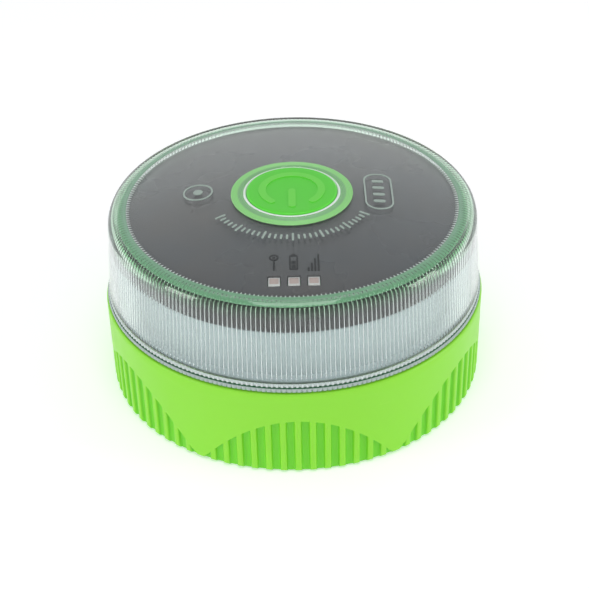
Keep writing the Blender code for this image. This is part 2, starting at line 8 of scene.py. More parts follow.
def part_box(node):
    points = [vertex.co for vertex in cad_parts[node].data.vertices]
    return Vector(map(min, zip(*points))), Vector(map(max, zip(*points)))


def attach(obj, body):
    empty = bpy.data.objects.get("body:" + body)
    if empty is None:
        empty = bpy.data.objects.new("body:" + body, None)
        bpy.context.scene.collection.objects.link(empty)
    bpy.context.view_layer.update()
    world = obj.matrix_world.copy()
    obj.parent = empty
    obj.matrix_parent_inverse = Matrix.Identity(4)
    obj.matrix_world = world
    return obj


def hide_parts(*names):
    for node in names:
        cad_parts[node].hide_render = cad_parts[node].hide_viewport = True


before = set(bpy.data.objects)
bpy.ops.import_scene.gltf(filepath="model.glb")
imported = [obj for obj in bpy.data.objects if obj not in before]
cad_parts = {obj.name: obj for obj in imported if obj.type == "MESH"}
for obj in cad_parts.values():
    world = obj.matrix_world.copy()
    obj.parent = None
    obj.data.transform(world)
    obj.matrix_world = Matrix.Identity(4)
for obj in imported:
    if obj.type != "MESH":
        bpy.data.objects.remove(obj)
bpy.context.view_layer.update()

# The pieces' dictionaries are in millimetres, and so is a mesh until finishPiece scales it.
# The studio and the camera are in metres.
mm = 0.001
mergeWithin = 1e-4


def nodeBox(name):
    low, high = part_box(name)
    return Vector(low) / mm, Vector(high) / mm


baseLow, baseHigh = nodeBox("base_housing")
lensLow, lensHigh = nodeBox("lens_cover")
sleeveLow, sleeveHigh = nodeBox("diffuser_sleeve")
flangeLow, flangeHigh = nodeBox("button_flange")
capLow, capHigh = nodeBox("button_cap")
doorLow, doorHigh = nodeBox("battery_door")
print("frame loaded:", len(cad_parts), "parts")


# Mesh steps that several pieces share

def arcPoints(centre, radius, start, end, steps):
    # Points of an arc in a turned profile, angles in degrees from straight out.
    points = []
    for step in range(steps + 1):
        angle = math.radians(start + (end - start) * step / steps)
        points.append((centre[0] + radius * math.cos(angle), centre[1] + radius * math.sin(angle)))
    return points


def spinProfile(bm, profile, steps, centre=(0.0, 0.0), sectors=1):
    # Turns a profile about an upright axis. Each vertex keeps its row in the profile as a number.
    # A fine ring is spun over one sector, which is then copied round and merged.
    row = bm.verts.layers.int.get("row") or bm.verts.layers.int.new("row")
    points = [bm.verts.new((centre[0] + r, centre[1], z)) for r, z in profile]
    for number, point in enumerate(points):
        point[row] = number
    edges = [bm.edges.new(pair) for pair in zip(points, points[1:])]
    if profile[0][0] > 0 or profile[-1][0] > 0:
        edges.append(bm.edges.new((points[-1], points[0])))
    axis = {"cent": (*centre, 0.0), "axis": (0.0, 0.0, 1.0)}
    share = math.tau / sectors
    bmesh.ops.spin(
        bm, geom=points + edges, angle=share, steps=steps // sectors, use_merge=sectors == 1, **axis
    )
    sector = bm.verts[:] + bm.edges[:] + bm.faces[:]
    for number in range(1, sectors):
        bmesh.ops.spin(
            bm, geom=sector, angle=share * number, steps=1, use_duplicate=True, **axis
        )
    merged = bm.verts
    if sectors == 1:
        middle = Vector(centre)
        merged = [vert for vert in bm.verts if (vert.co.xy - middle).length < mergeWithin]
    bmesh.ops.remove_doubles(bm, verts=merged, dist=mergeWithin)
    return row


def roundedSlab(bm, halfX, halfY, corner, bottom, top, spot=(0.0, 0.0), segments=6):
    # A flat plate with rounded upright corners.
    made = bmesh.ops.create_cube(bm, size=2.0)["verts"]
    bmesh.ops.scale(bm, verts=made, vec=(halfX, halfY, (top - bottom) / 2))
    bmesh.ops.translate(bm, verts=made, vec=(*spot, (top + bottom) / 2))
    edges = {edge for vert in made for edge in vert.link_edges}
    upright = [edge for edge in edges if abs(edge.verts[0].co.z - edge.verts[1].co.z) > 1e-3]
    bmesh.ops.bevel(
        bm, geom=upright, offset=corner, segments=segments, profile=0.5, affect="EDGES", material=-1
    )


def roundRod(bm, radius, bottom, top, centre=(0.0, 0.0), segments=48):
    place = Matrix.Translation((*centre, (top + bottom) / 2))
    size = {"radius1": radius, "radius2": radius, "depth": top - bottom}
    bmesh.ops.create_cone(bm, cap_ends=True, segments=segments, matrix=place, **size)


def polar(radius, degrees):
    angle = math.radians(degrees)
    return radius * math.cos(angle), radius * math.sin(angle)


def angleOf(vert):
    return math.degrees(math.atan2(vert.co.y, vert.co.x))


def setRadius(vert, radius, degrees):
    vert.co.x, vert.co.y = polar(radius, degrees)


def addObject(name, data):
    made = bpy.data.objects.new(name, data)
    bpy.context.scene.collection.objects.link(made)
    return made


def meshFrom(bm, name, scale):
    bmesh.ops.recalc_face_normals(bm, faces=bm.faces)
    bmesh.ops.scale(bm, verts=bm.verts, vec=(scale, scale, scale))
    mesh = bpy.data.meshes.new(name)
    bm.to_mesh(mesh)
    bm.free()
    return mesh


def finishPiece(bm, name, body, slotName, material, stands=(), sharp=35.0, bevel=0.0):
    mesh = meshFrom(bm, name, mm)
    mesh.shade_smooth()
    mesh.set_sharp_from_angle(angle=math.radians(sharp))
    mesh.materials.append(material)
    piece = addObject(name, mesh)
    if bevel:
        edge = piece.modifiers.new("softEdges", "BEVEL")
        edge.width = bevel * mm
        edge.segments = 3
        edge.limit_method = "ANGLE"
        edge.angle_limit = math.radians(32)
        edge.harden_normals = True
    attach(piece, body)
    if stands:
        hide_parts(*stands)
    print("made", name, len(mesh.polygons), "faces")


def combined(bm, *tools):
    # Cuts or joins each (operation, shape) pair in turn and gives back one shape.
    holder = addObject("holder", meshFrom(bm, "holder", 1.0))
    helpers = [holder]
    for operation, shape in tools:
        tool = addObject("tool", meshFrom(shape, "tool", 1.0))
        step = holder.modifiers.new("combine", "BOOLEAN")
        step.operation = operation
        step.object = tool
        step.solver = "EXACT"
        helpers.append(tool)
    bpy.context.view_layer.update()
    graph = bpy.context.evaluated_depsgraph_get()
    made = bmesh.new()
    made.from_mesh(holder.evaluated_get(graph).to_mesh())
    for helper in helpers:
        bpy.data.objects.remove(helper, do_unlink=True)
    return made


# Shader nodes

def setInputs(node, values):
    for key, value in values.items():
        node.inputs[key].default_value = value


def addNode(tree, kind, settings=None, inputs=None):
    node = tree.nodes.new(kind)
    for key, value in (settings or {}).items():
        setattr(node, key, value)
    setInputs(node, inputs or {})
    return node


def addRange(tree, start, end, low=0.0, high=1.0):
    return addNode(tree, "ShaderNodeMapRange", inputs={1: start, 2: end, 3: low, 4: high})


def addNoise(tree, detail, roughness=0.5, scale=5.0):
    inputs = {"Detail": detail, "Roughness": roughness, "Scale": scale}
    return addNode(tree, "ShaderNodeTexNoise", inputs=inputs)


def addMath(tree, operation, inputs=None):
    return addNode(tree, "ShaderNodeMath", {"operation": operation}, inputs)


def wire(tree, *links):
    # Each link is (node, output, node, input).
    for start, output, end, entry in links:
        tree.links.new(start.outputs[output], end.inputs[entry])


def newGroup(name, inputs, outputs):
    group = bpy.data.node_groups.new(name, "ShaderNodeTree")
    newSocket = group.interface.new_socket
    for title, value in inputs.items():
        newSocket(title, in_out="INPUT", socket_type="NodeSocketFloat").default_value = value
    for title in outputs:
        newSocket(title, in_out="OUTPUT", socket_type="NodeSocketFloat")
    return group, group.nodes.new("NodeGroupInput"), group.nodes.new("NodeGroupOutput")


def placeGroup(tree, group, inputs):
    return addNode(tree, "ShaderNodeGroup", {"node_tree": group}, inputs)


def makeMouldGrain():
    # Fine spark-eroded grain with slow cloudy variation, for moulded plastic and rubber.
    inputs = {"Grain Scale": 3000.0, "Cloud Scale": 40.0}
    group, given, result = newGroup("mouldGrain", inputs, ["Height", "Cloud"])
    where = addNode(group, "ShaderNodeTexCoord")
    fine = addNoise(group, 3.0, 0.6)
    pits = addNode(group, "ShaderNodeTexVoronoi", {"feature": "SMOOTH_F1"})
    cloud = addNoise(group, 4.0, 0.55)
    mix = addMath(group, "MULTIPLY_ADD", {1: 0.5})
    for texture, scale in ((fine, "Grain Scale"), (pits, "Grain Scale"), (cloud, "Cloud Scale")):
        wire(group, (where, "Object", texture, "Vector"), (given, scale, texture, "Scale"))
    wire(group, (pits, "Distance", mix, 0), (fine, "Fac", mix, 2))
    wire(group, (mix, 0, result, "Height"), (cloud, "Fac", result, "Cloud"))
    return group


def makeHandlingMarks():
    # Hairline scratches and broad smudges from being handled.
    inputs = {"Scratch Scale": 120.0, "Smudge Scale": 60.0}
    group, given, result = newGroup("handlingMarks", inputs, ["Scratches", "Smudges"])
    where = addNode(group, "ShaderNodeTexCoord")
    bend = addNoise(group, 1.0, scale=25.0)
    shifted = addNode(group, "ShaderNodeVectorMath", {"operation": "MULTIPLY_ADD"})
    shifted.inputs[1].default_value = (0.03, 0.03, 0.03)
    lines = addNode(group, "ShaderNodeTexVoronoi", {"feature": "DISTANCE_TO_EDGE"})
    thin = addRange(group, 0.0, 0.012, 1.0, 0.0)
    patchy = addNoise(group, 2.0, scale=90.0)
    some = addRange(group, 0.52, 0.62)
    both = addMath(group, "MULTIPLY")
    smudge = addNoise(group, 3.0)
    soft = addRange(group, 0.42, 0.72)
    for texture in (bend, patchy, smudge):
        wire(group, (where, "Object", texture, "Vector"))
    wire(
        group,
        (bend, "Color", shifted, 0),
        (where, "Object", shifted, 2),
        (shifted, 0, lines, "Vector"),
        (given, "Scratch Scale", lines, "Scale"),
        (given, "Smudge Scale", smudge, "Scale"),
        (lines, "Distance", thin, 0),
        (patchy, "Fac", some, 0),
        (thin, 0, both, 0),
        (some, 0, both, 1),
        (smudge, "Fac", soft, 0),
        (both, 0, result, "Scratches"),
        (soft, 0, result, "Smudges"),
    )
    return group


grainGroup = makeMouldGrain()
handlingGroup = makeHandlingMarks()
print("shared shader groups ready")


def newMaterial(name):
    made = bpy.data.materials.new(name)
    made.use_nodes = True
    return made, made.node_tree, made.node_tree.nodes["Principled BSDF"]


def mixColour(tree, first, second, factor, amount=1.0):
    # Blends two colours by a mask socket times an amount. Either colour may be a socket.
    scaled = addMath(tree, "MULTIPLY", {1: amount})
    mix = addNode(tree, "ShaderNodeMix", {"data_type": "RGBA"})
    tree.links.new(factor, scaled.inputs[0])
    tree.links.new(scaled.outputs[0], mix.inputs[0])
    for socket, value in ((6, first), (7, second)):
        if isinstance(value, tuple):
            mix.inputs[socket].default_value = (*value, 1.0)
        else:
            tree.links.new(value, mix.inputs[socket])
    return mix.outputs[2]


def tintBase(material, tint, mask, amount=1.0):
    # Mixes a second colour into a material's base colour where the mask is full.
    tree = material.node_tree
    entry = tree.nodes["Principled BSDF"].inputs["Base Color"]
    base = entry.links[0].from_socket
    tree.links.new(mixColour(tree, base, tint, mask, amount), entry)


def ringMask(tree, reach, height):
    # Rises from none to full over a range of radius and a range of height.
    where = addNode(tree, "ShaderNodeTexCoord")
    split = addNode(tree, "ShaderNodeSeparateXYZ")
    flat = addNode(tree, "ShaderNodeCombineXYZ")
    length = addNode(tree, "ShaderNodeVectorMath", {"operation": "LENGTH"})
    out = addRange(tree, reach[0] * mm, reach[1] * mm)
    level = addRange(tree, height[0] * mm, height[1] * mm)
    both = addMath(tree, "MULTIPLY")
    wire(
        tree,
        (where, "Object", split, 0),
        (split, "X", flat, "X"),
        (split, "Y", flat, "Y"),
        (flat, 0, length, 0),
        (length, "Value", out, 0),
        (split, "Z", level, 0),
        (out, 0, both, 0),
        (level, 0, both, 1),
    )
    return both.outputs[0]


def clearWhere(tree, mask, output, tint=(1.0, 1.0, 1.0)):
    # Lets tinted light straight through where the mask node's output is full.
    clear = addNode(tree, "ShaderNodeBsdfTransparent", inputs={"Color": (*tint, 1.0)})
    blend = addNode(tree, "ShaderNodeMixShader")
    wire(
        tree,
        (mask, output, blend, 0),
        (tree.nodes["Principled BSDF"], 0, blend, 1),
        (clear, 0, blend, 2),
        (blend, 0, tree.nodes["Material Output"], "Surface"),
    )


# What a finish is unless its own look says otherwise. Scattered light goes depth millimetres in.
plainLook = {
    "metallic": 0.0,
    "ior": 1.49,
    "subsurface": 0.0,
    "depth": 1.0,
    "spread": (1.0, 1.0, 1.0),
    "grain": 3000.0,
    "cloud": 45.0,
    "scratch": 130.0,
    "smudge": 55.0,
    "variation": 0.6,
    "worn": 0.25,
    "bump": 0.12,
    "brush": (40.0, 1500.0, 1500.0),
}


def lookOf(colour, deep, pale, gloss, **more):
    # Main, cloudy and scratched colours, the range of roughness, and what else a finish sets.
    return dict(plainLook, colour=colour, deep=deep, pale=pale, gloss=gloss, **more)


def moulded(name, look):
    # Moulded plastic or rubber: cloudy colour, uneven gloss, fine grain, hairline scratches.
    made, tree, shader = newMaterial(name)
    plain = {
        "Metallic": look["metallic"],
        "IOR": look["ior"],
        "Subsurface Weight": look["subsurface"],
        "Subsurface Scale": look["depth"] * mm,
        "Subsurface Radius": look["spread"],
    }
    setInputs(shader, plain)
    scales = {"Grain Scale": look["grain"], "Cloud Scale": look["cloud"]}
    grain = placeGroup(tree, grainGroup, scales)
    scales = {"Scratch Scale": look["scratch"], "Smudge Scale": look["smudge"]}
    marks = placeGroup(tree, handlingGroup, scales)
    cloud, scratches = grain.outputs["Cloud"], marks.outputs["Scratches"]
    colour = mixColour(tree, look["colour"], look["deep"], cloud, look["variation"])
    colour = mixColour(tree, colour, look["pale"], scratches, look["worn"])
    rough = addRange(tree, 0.0, 1.0, *look["gloss"])
    bump = addNode(tree, "ShaderNodeBump", inputs={"Strength": look["bump"], "Distance": 0.03 * mm})
    tree.links.new(colour, shader.inputs["Base Color"])
    wire(tree, (marks, "Smudges", rough, 0), (rough, 0, shader, "Roughness"))
    wire(tree, (grain, "Height", bump, "Height"), (bump, "Normal", shader, "Normal"))
    return made


def metal(name, look):
    # Plated or rolled metal: directional brushing, dull patches and hairlines.
    made = moulded(name, dict(look, metallic=1.0))
    tree = made.node_tree
    where = addNode(tree, "ShaderNodeTexCoord")
    stretch = addNode(tree, "ShaderNodeMapping", inputs={"Scale": look["brush"]})
    streaks = addNoise(tree, 3.0, scale=1.0)
    bump = addNode(tree, "ShaderNodeBump", inputs={"Strength": 0.15, "Distance": 0.02 * mm})
    wire(
        tree,
        (where, "Object", stretch, "Vector"),
        (stretch, "Vector", streaks, "Vector"),
        (streaks, "Fac", bump, "Height"),
        (bump, "Normal", tree.nodes["Principled BSDF"], "Normal"),
    )
    return made


limeGreen = lookOf(
    (0.260, 0.700, 0.028),
    (0.238, 0.665, 0.022),
    (0.36, 0.74, 0.10),
    (0.36, 0.48),
    worn=0.12,
    bump=0.10,
    subsurface=0.15,
    depth=0.8,
    spread=(0.5, 1.0, 0.15),
)
capGreen = lookOf(
    (0.115, 0.72, 0.048),
    (0.100, 0.67, 0.043),
    (0.22, 0.75, 0.16),
    (0.38, 0.5),
    worn=0.05,
    bump=0.06,
    subsurface=0.2,
    depth=1.2,
    spread=(0.3, 1.0, 0.2),
)
# Black cover: its colours are lifted above plain black as a painted reflection of the lens and
# lamps above. The cool and warm cloud between them is a painted rainbow sheen.
coverBlackPaintedSheen = lookOf(
    (0.070, 0.086, 0.108),
    (0.116, 0.090, 0.078),
    (0.08, 0.08, 0.08),
    (0.27, 0.31),
    worn=0.02,
    bump=0.0,
    cloud=32.0,
    variation=1.0,
)
sleeveGrey = lookOf(
    (0.440, 0.505, 0.520), (0.415, 0.478, 0.494), (0.5, 0.54, 0.55), (0.4, 0.55), worn=0.0
)
whitePlastic = lookOf((0.78, 0.78, 0.75), (0.72, 0.72, 0.69), (0.9, 0.9, 0.88), (0.4, 0.55))
blackPlastic = lookOf((0.03, 0.03, 0.032), (0.022, 0.022, 0.024), (0.12, 0.12, 0.12), (0.38, 0.55))
blackRubber = lookOf(
    (0.022, 0.022, 0.022),
    (0.03, 0.029, 0.028),
    (0.09, 0.088, 0.085),
    (0.65, 0.85),
    bump=0.3,
    grain=1800.0,
    variation=1.0,
)
zincSteel = lookOf(
    (0.62, 0.62, 0.6), (0.5, 0.5, 0.49), (0.75, 0.75, 0.75), (0.22, 0.42), worn=0.3
)


def like(look, colour, deep, pale, **more):
    return dict(look, colour=colour, deep=deep, pale=pale, **more)


symbolGreen = like(capGreen, (0.17, 0.76, 0.075), (0.15, 0.72, 0.07), (0.22, 0.75, 0.16))
flangeGreen = like(capGreen, (0.33, 0.80, 0.25), (0.30, 0.74, 0.22), (0.5, 0.88, 0.42))
sealGreen = like(blackRubber, (0.02, 0.12, 0.045), (0.015, 0.09, 0.035), (0.1, 0.25, 0.12))
nickel = like(
    zincSteel, (0.68, 0.65, 0.6), (0.58, 0.55, 0.5), (0.75, 0.75, 0.75), gloss=(0.14, 0.3)
)
limePlastic = moulded("limePlastic", limeGreen)
wallPlastic = moulded("wallPlastic", limeGreen)
doorPlastic = moulded("doorPlastic", dict(limeGreen, grain=2400.0, bump=0.2))
capSilicone = moulded("capSilicone", capGreen)
symbolSilicone = moulded("symbolSilicone", symbolGreen)
flangeSilicone = moulded("flangeSilicone", flangeGreen)
coverPlastic = moulded("coverPlastic", coverBlackPaintedSheen)
sleevePlastic = moulded("sleevePlastic", sleeveGrey)
footRubber = moulded("footRubber", blackRubber)
sealRubber = moulded("sealRubber", sealGreen)
screwMetal = metal("screwMetal", zincSteel)
print("moulded and metal finishes ready")


# Clear lens plastic, painted greener round its thick corner as a painted reflection of the green
# base. Lamps reach what is inside through it.
lensClear = {
    "tint": (0.93, 0.965, 0.95),
    "cloud": (0.91, 0.955, 0.94),
    # Painted reflection: the green tint for the thick corner, then the radius and height where it
    # fades in.
    "corner": (0.64, 0.88, 0.68),
    "paintedGreenFrom": (42.6, 43.8),
    "paintedGreenAbove": (44.2, 45.6),
    "gloss": (0.005, 0.0065),
    "through": (0.95, 0.97, 0.96),
}


def makeLensPlastic():
    made, tree, shader = newMaterial("lensPlastic")
    setInputs(shader, {"Transmission Weight": 1.0, "IOR": 1.5})
    grain = placeGroup(tree, grainGroup, {"Grain Scale": 900.0, "Cloud Scale": 35.0})
    marks = placeGroup(tree, handlingGroup, {"Scratch Scale": 150.0, "Smudge Scale": 45.0})
    colour = mixColour(tree, lensClear["tint"], lensClear["cloud"], grain.outputs["Cloud"])
    # Painted reflection: the glass is tinted green round its corner, where green light from the
    # base is carried round it.
    edge = ringMask(tree, lensClear["paintedGreenFrom"], lensClear["paintedGreenAbove"])
    tree.links.new(mixColour(tree, colour, lensClear["corner"], edge), shader.inputs["Base Color"])
    rough = addRange(tree, 0.0, 1.0, *lensClear["gloss"])
    wire(tree, (marks, "Smudges", rough, 0), (rough, 0, shader, "Roughness"))
    path = addNode(tree, "ShaderNodeLightPath")
    either = addMath(tree, "MAXIMUM")
    wire(tree, (path, "Is Shadow Ray", either, 0), (path, "Is Diffuse Ray", either, 1))
    clearWhere(tree, either, 0, lensClear["through"])
    return made


lensPlastic = makeLensPlastic()


# Base wall: the grooved outer ring. Its arches of grooves repeat round the axis from the front.
baseWall = {
    "arches": 6,
    "groovesPerArch": 14,
    "archTop": 16.46,
    "archDrop": 0.0189,  # per degree squared from the arch's middle
    "grooveDepth": 0.9,
    "footRound": 0.9,
    "draft": 0.2,
    "rimRound": 0.6,
    "recess": (47.0, 1.1),
    "floorLap": (43.6, 4.0),
    "bore": 46.6,
    "ledge": (44.0, 21.0),
    "ledgeDrops": (1.2, 3.8),
    "rows": 24,
    # Painted shade: the darker green painted into the groove floors, then the radius and height
    # range it covers.
    "grooveFloorShade": (0.160, 0.640, 0.010),
    "grooveShadeZone": ((48.6, 48.15), (18.5, 17.5)),
}
# One groove's half section: distance from its middle and share of the depth.
grooveSection = (
    (0.0, 1.0),
    (0.45, 0.98),
    (0.80, 0.93),
    (0.95, 0.76),
    (1.04, 0.42),
    (1.12, 0.17),
    (1.26, 0.06),
    (1.48, 0.015),
)
# How a groove's floor rises to its end: distance below the arch line and share of the depth.
grooveEnd = (
    (-0.15, 0.0), (0.0, 0.0), (0.04, 0.16), (0.12, 0.6), (0.24, 0.86), (0.45, 0.97), (0.7, 1.0)
)


def ramp(points, value):
    # Straight-line reading of a list of (position, value) pairs.
    if value <= points[0][0]:
        return points[0][1]
    for (x0, y0), (x1, y1) in zip(points, points[1:]):
        if value <= x1:
            return y0 + (y1 - y0) * (value - x0) / (x1 - x0)
    return points[-1][1]


def archHeight(degrees):
    span = 360 / baseWall["arches"]
    offset = (degrees + 90 + span / 2) % span - span / 2
    return baseWall["archTop"] - baseWall["archDrop"] * offset * offset


def wallRadius(z):
    # Outer face of the wall without grooves: rounded foot, slight draft.
    rim = baseHigh.x
    start = baseLow.z + baseWall["footRound"]
    if z >= start:
        return rim - baseWall["draft"] * (1 - (z - start) / (baseHigh.z - start))
    drop = (start - z) / baseWall["footRound"]
    pull = baseWall["footRound"] * (1 - math.sqrt(max(0.0, 1 - drop * drop)))
    return rim - baseWall["draft"] - pull


def grooveColumns():
    # Angle from the groove's middle and share of depth, for every column of one pitch.
    rim = baseHigh.x
    pitch = 360 / (baseWall["arches"] * baseWall["groovesPerArch"])
    side = [(math.degrees(distance / rim), share) for distance, share in grooveSection]
    return side + [(pitch / 2, 0.0)] + [(pitch - angle, share) for angle, share in side[:0:-1]]


def makeBaseWall():
    columns = grooveColumns()
    pitch = 360 / (baseWall["arches"] * baseWall["groovesPerArch"])
    recess, ceiling = baseWall["recess"]
    inner, lap = baseWall["floorLap"]
    bore = baseWall["bore"]
    ledge, shelf = baseWall["ledge"]
    under, slope = baseWall["ledgeDrops"]
    foot = baseLow.z + baseWall["footRound"]
    top = baseHigh.z
    rim = baseHigh.x
    profile = [(inner, ceiling), (recess, ceiling), (recess, baseLow.z)]
    start = len(profile)
    profile += [(rim, float(number)) for number in range(baseWall["rows"])]
    profile += [(rim - 0.18, top - 0.1), (rim - 0.4, top), (bore + 0.2, top), (bore, top - 0.2)]
    profile += [(bore, shelf), (ledge, shelf), (ledge, shelf - under), (bore, shelf - slope)]
    profile += [(bore, lap), (inner, lap)]
    bm = bmesh.new()
    steps = baseWall["arches"] * baseWall["groovesPerArch"] * len(columns)
    row = spinProfile(bm, profile, steps, sectors=12)
    first = -90 + pitch / 2
    for vert in bm.verts:
        index = round((angleOf(vert) - first) * steps / 360) % steps
        groove, column = divmod(index, len(columns))
        angle = first + groove * pitch + columns[column][0]
        radius = vert.co.xy.length
        if 0 <= vert[row] - start < baseWall["rows"]:
            arch = archHeight(angle)
            vert.co.z = rowHeight(vert[row] - start, arch, foot, top)
            share = columns[column][1] * ramp(grooveEnd, arch - vert.co.z)
            floor = wallRadius(max(vert.co.z, foot)) - baseWall["grooveDepth"] * share
            radius = min(wallRadius(vert.co.z), floor)
        setRadius(vert, radius, angle)
    # Painted shade: the groove floors are tinted darker green where their walls shade them.
    grooveShadeMask = ringMask(wallPlastic.node_tree, *baseWall["grooveShadeZone"])
    tintBase(wallPlastic, baseWall["grooveFloorShade"], grooveShadeMask)
    finishPiece(
        bm, "baseWall", "housing", "green_plastic", wallPlastic, ["base_housing"], sharp=50.0
    )


def rowHeight(row, arch, foot, top):
    # Rows 0 to 5 round the foot, to 10 up the groove, to 16 round its end, then up to the rim.
    if row < 6:
        return foot - baseWall["footRound"] * math.cos(math.radians(18 * row))
    held = max(arch, foot + 0.9)
    body = held - 0.7
    if row < 11:
        return foot + (body - foot) * (row - 5) / 5
    if row < 17:
        return held - grooveEnd[::-1][row - 10][0]
    return held + 0.15 + (top - baseWall["rimRound"] - held - 0.15) * (row - 16) / 7


makeBaseWall()


# Base floor: door pocket, battery opening, screw pockets, magnet rings and bosses
baseFloor = {
    "radius": 44.2,
    "bottom": 0.5,
    "top": 4.2,
    "pocket": (29.8, 28.1, 5.3),
    "pocketTop": 3.1,
    "opening": (22.1, 25.6, 1.5),
    "doorScrewX": 26.2,
    "doorBoss": (2.8, 1.4, 5.0),  # outer and hole radius, rise
    "fixingCircle": 39.5,
    "screwAngles": (22.5, 112.5, 202.5, 292.5),
    "screwHole": 1.8,
    "screwPocket": (3.1, 2.3),
    "magnetAngles": (67.5, 157.5, 247.5, 337.5),
    "magnetRing": (5.3, 6.2, 2.6),
}


def makeBaseFloor():
    bottom, top, radius = baseFloor["bottom"], baseFloor["top"], baseFloor["radius"]
    bm = bmesh.new()
    edge = [(radius - 0.25, bottom), (radius, bottom + 0.25), (radius, top)]
    spinProfile(bm, [(0.0, bottom)] + edge + [(0.0, top)], 180)
    rings, pocket, opening, heads = bmesh.new(), bmesh.new(), bmesh.new(), bmesh.new()
    inner, outer, rise = baseFloor["magnetRing"]
    root = top - 0.5
    for angle in baseFloor["magnetAngles"]:
        wall = [(inner, root), (outer, root), (outer, top + rise), (inner, top + rise)]
        spinProfile(rings, wall, 40, polar(baseFloor["fixingCircle"], angle))
    halfX, halfY, corner = baseFloor["pocket"]
    roundedSlab(pocket, halfX, halfY, corner, bottom - 1.0, baseFloor["pocketTop"], segments=10)
    roundedSlab(opening, *baseFloor["opening"], bottom, top + 1.0)
    boss, hole, rise = baseFloor["doorBoss"]
    for side in (-1, 1):
        spot = (side * baseFloor["doorScrewX"], 0.0)
        roundRod(rings, boss, root, top + rise, spot, 32)
        roundRod(opening, hole, bottom, top + 4.0, spot, 24)
    head, depth = baseFloor["screwPocket"]
    for angle in baseFloor["screwAngles"]:
        spot = polar(baseFloor["fixingCircle"], angle)
        roundRod(opening, baseFloor["screwHole"], bottom + 0.5, top + 1.0, spot, 24)
        roundRod(heads, head, bottom - 1.0, depth, spot, 40)
    cuts = [("DIFFERENCE", shape) for shape in (pocket, opening, heads)]
    made = combined(bm, ("UNION", rings), *cuts)
    finishPiece(made, "baseFloor", "housing", "green_plastic", limePlastic)


makeBaseFloor()


# Battery door: plate with shallow grip grooves and countersunk screw seats
batteryDoor = {
    "corner": 5.0,
    "screwX": 26.2,
    "seat": ((2.4, 1.2), (1.5, 1.3), (1.5, 2.5)),
    "gripGrooves": 7,
    "gripPitch": 2.4,
    "gripLength": 16.0,
    "gripFirst": 5.5,  # from the edge
}


def makeBatteryDoor():
    halfX, halfY, low = doorHigh.x, doorHigh.y, doorLow.z
    bm, cuts, grips = bmesh.new(), bmesh.new(), bmesh.new()
    roundedSlab(bm, halfX, halfY, batteryDoor["corner"], low, doorHigh.z, segments=12)
    seat = [(0.0, low - 0.2), (2.75, low - 0.2), (2.4, low + 0.1), *batteryDoor["seat"]]
    for side in (-1, 1):
        spinProfile(cuts, seat + [(0.0, seat[-1][1])], 40, (side * batteryDoor["screwX"], 0.0))
    half = batteryDoor["gripLength"] / 2
    for number in range(batteryDoor["gripGrooves"]):
        y = -halfY + batteryDoor["gripFirst"] + number * batteryDoor["gripPitch"]
        roundedSlab(grips, half, 0.55, 0.54, low - 1.0, low + 0.3, (0.0, y))
    made = combined(bm, ("DIFFERENCE", cuts), ("DIFFERENCE", grips))
    finishPiece(
        made, "doorPlate", "door", "door_plastic", doorPlastic, ["battery_door"], bevel=0.18
    )


makeBatteryDoor()


# Foot ring: soft rubber with a fine groove round its lower face
footRing = {"inner": 44.5, "outer": 46.7, "height": 0.8, "round": 0.25}


def makeFootRing():
    inner, outer, high = footRing["inner"], footRing["outer"], footRing["height"]
    curve = footRing["round"]
    middle = (inner + outer) / 2
    profile = arcPoints((outer - curve, curve), curve, -90, 0, 4)
    profile += [(outer, high), (inner, high)]
    profile += arcPoints((inner + curve, curve), curve, 180, 270, 4)
    groove = ((-0.2, 0.0), (-0.1, 0.12), (0.1, 0.12), (0.2, 0.0))
    profile += [(middle + across, z) for across, z in groove]
    bm = bmesh.new()
    spinProfile(bm, profile, 240)
    finishPiece(bm, "footRubberRing", "housing", "foot_rubber", footRubber, ["foot_ring"])


makeFootRing()


# Screws: pan heads with a hexagonal socket. Head and shank are each a radius and a top height.
screws = {
    "case": {"low": 0.62, "head": (2.8, 2.0), "shank": (1.5, 12.8)},
    "door": {"low": 0.66, "head": (2.1, 1.15), "shank": (1.2, 6.9)},
    "threadPitch": 0.7,
    "threadDepth": 0.22,
}


def makeScrew(name, spot, kind, body, stand):
    low = screws[kind]["low"]
    head, headTop = screws[kind]["head"]
    shank, shankTop = screws[kind]["shank"]
    profile = [(0.0, low), (head * 0.55, low), (head * 0.8, low + 0.08), (head * 0.95, low + 0.25)]
    profile += [(head, low + 0.5), (head, headTop), (shank, headTop + 0.05)]
    height = headTop + 0.6
    while height < shankTop - 0.8:
        valley = shank - screws["threadDepth"]
        profile += [(shank, height), (valley, height + 0.2), (shank, height + 0.4)]
        height += screws["threadPitch"]
    profile += [(0.5, shankTop), (0.0, shankTop)]
    bm, socket = bmesh.new(), bmesh.new()
    spinProfile(bm, profile, 40, spot)
    roundRod(socket, head * 0.42, low - 0.5, low + 0.22 * head + 0.2, spot, 6)
    made = combined(bm, ("DIFFERENCE", socket))
    finishPiece(made, name, body, "screw_steel", screwMetal, [stand], sharp=30)


for number, angle in enumerate(baseFloor["screwAngles"], 1):
    spot = polar(baseFloor["fixingCircle"], angle)
    makeScrew(f"caseScrew{number}", spot, "case", "housing", f"case_screw_{number}")
for name, side in (("left", -1), ("right", 1)):
    spot = (side * batteryDoor["screwX"], 0.0)
    makeScrew(f"doorScrew_{name}", spot, "door", "door", f"door_screw_{name}")


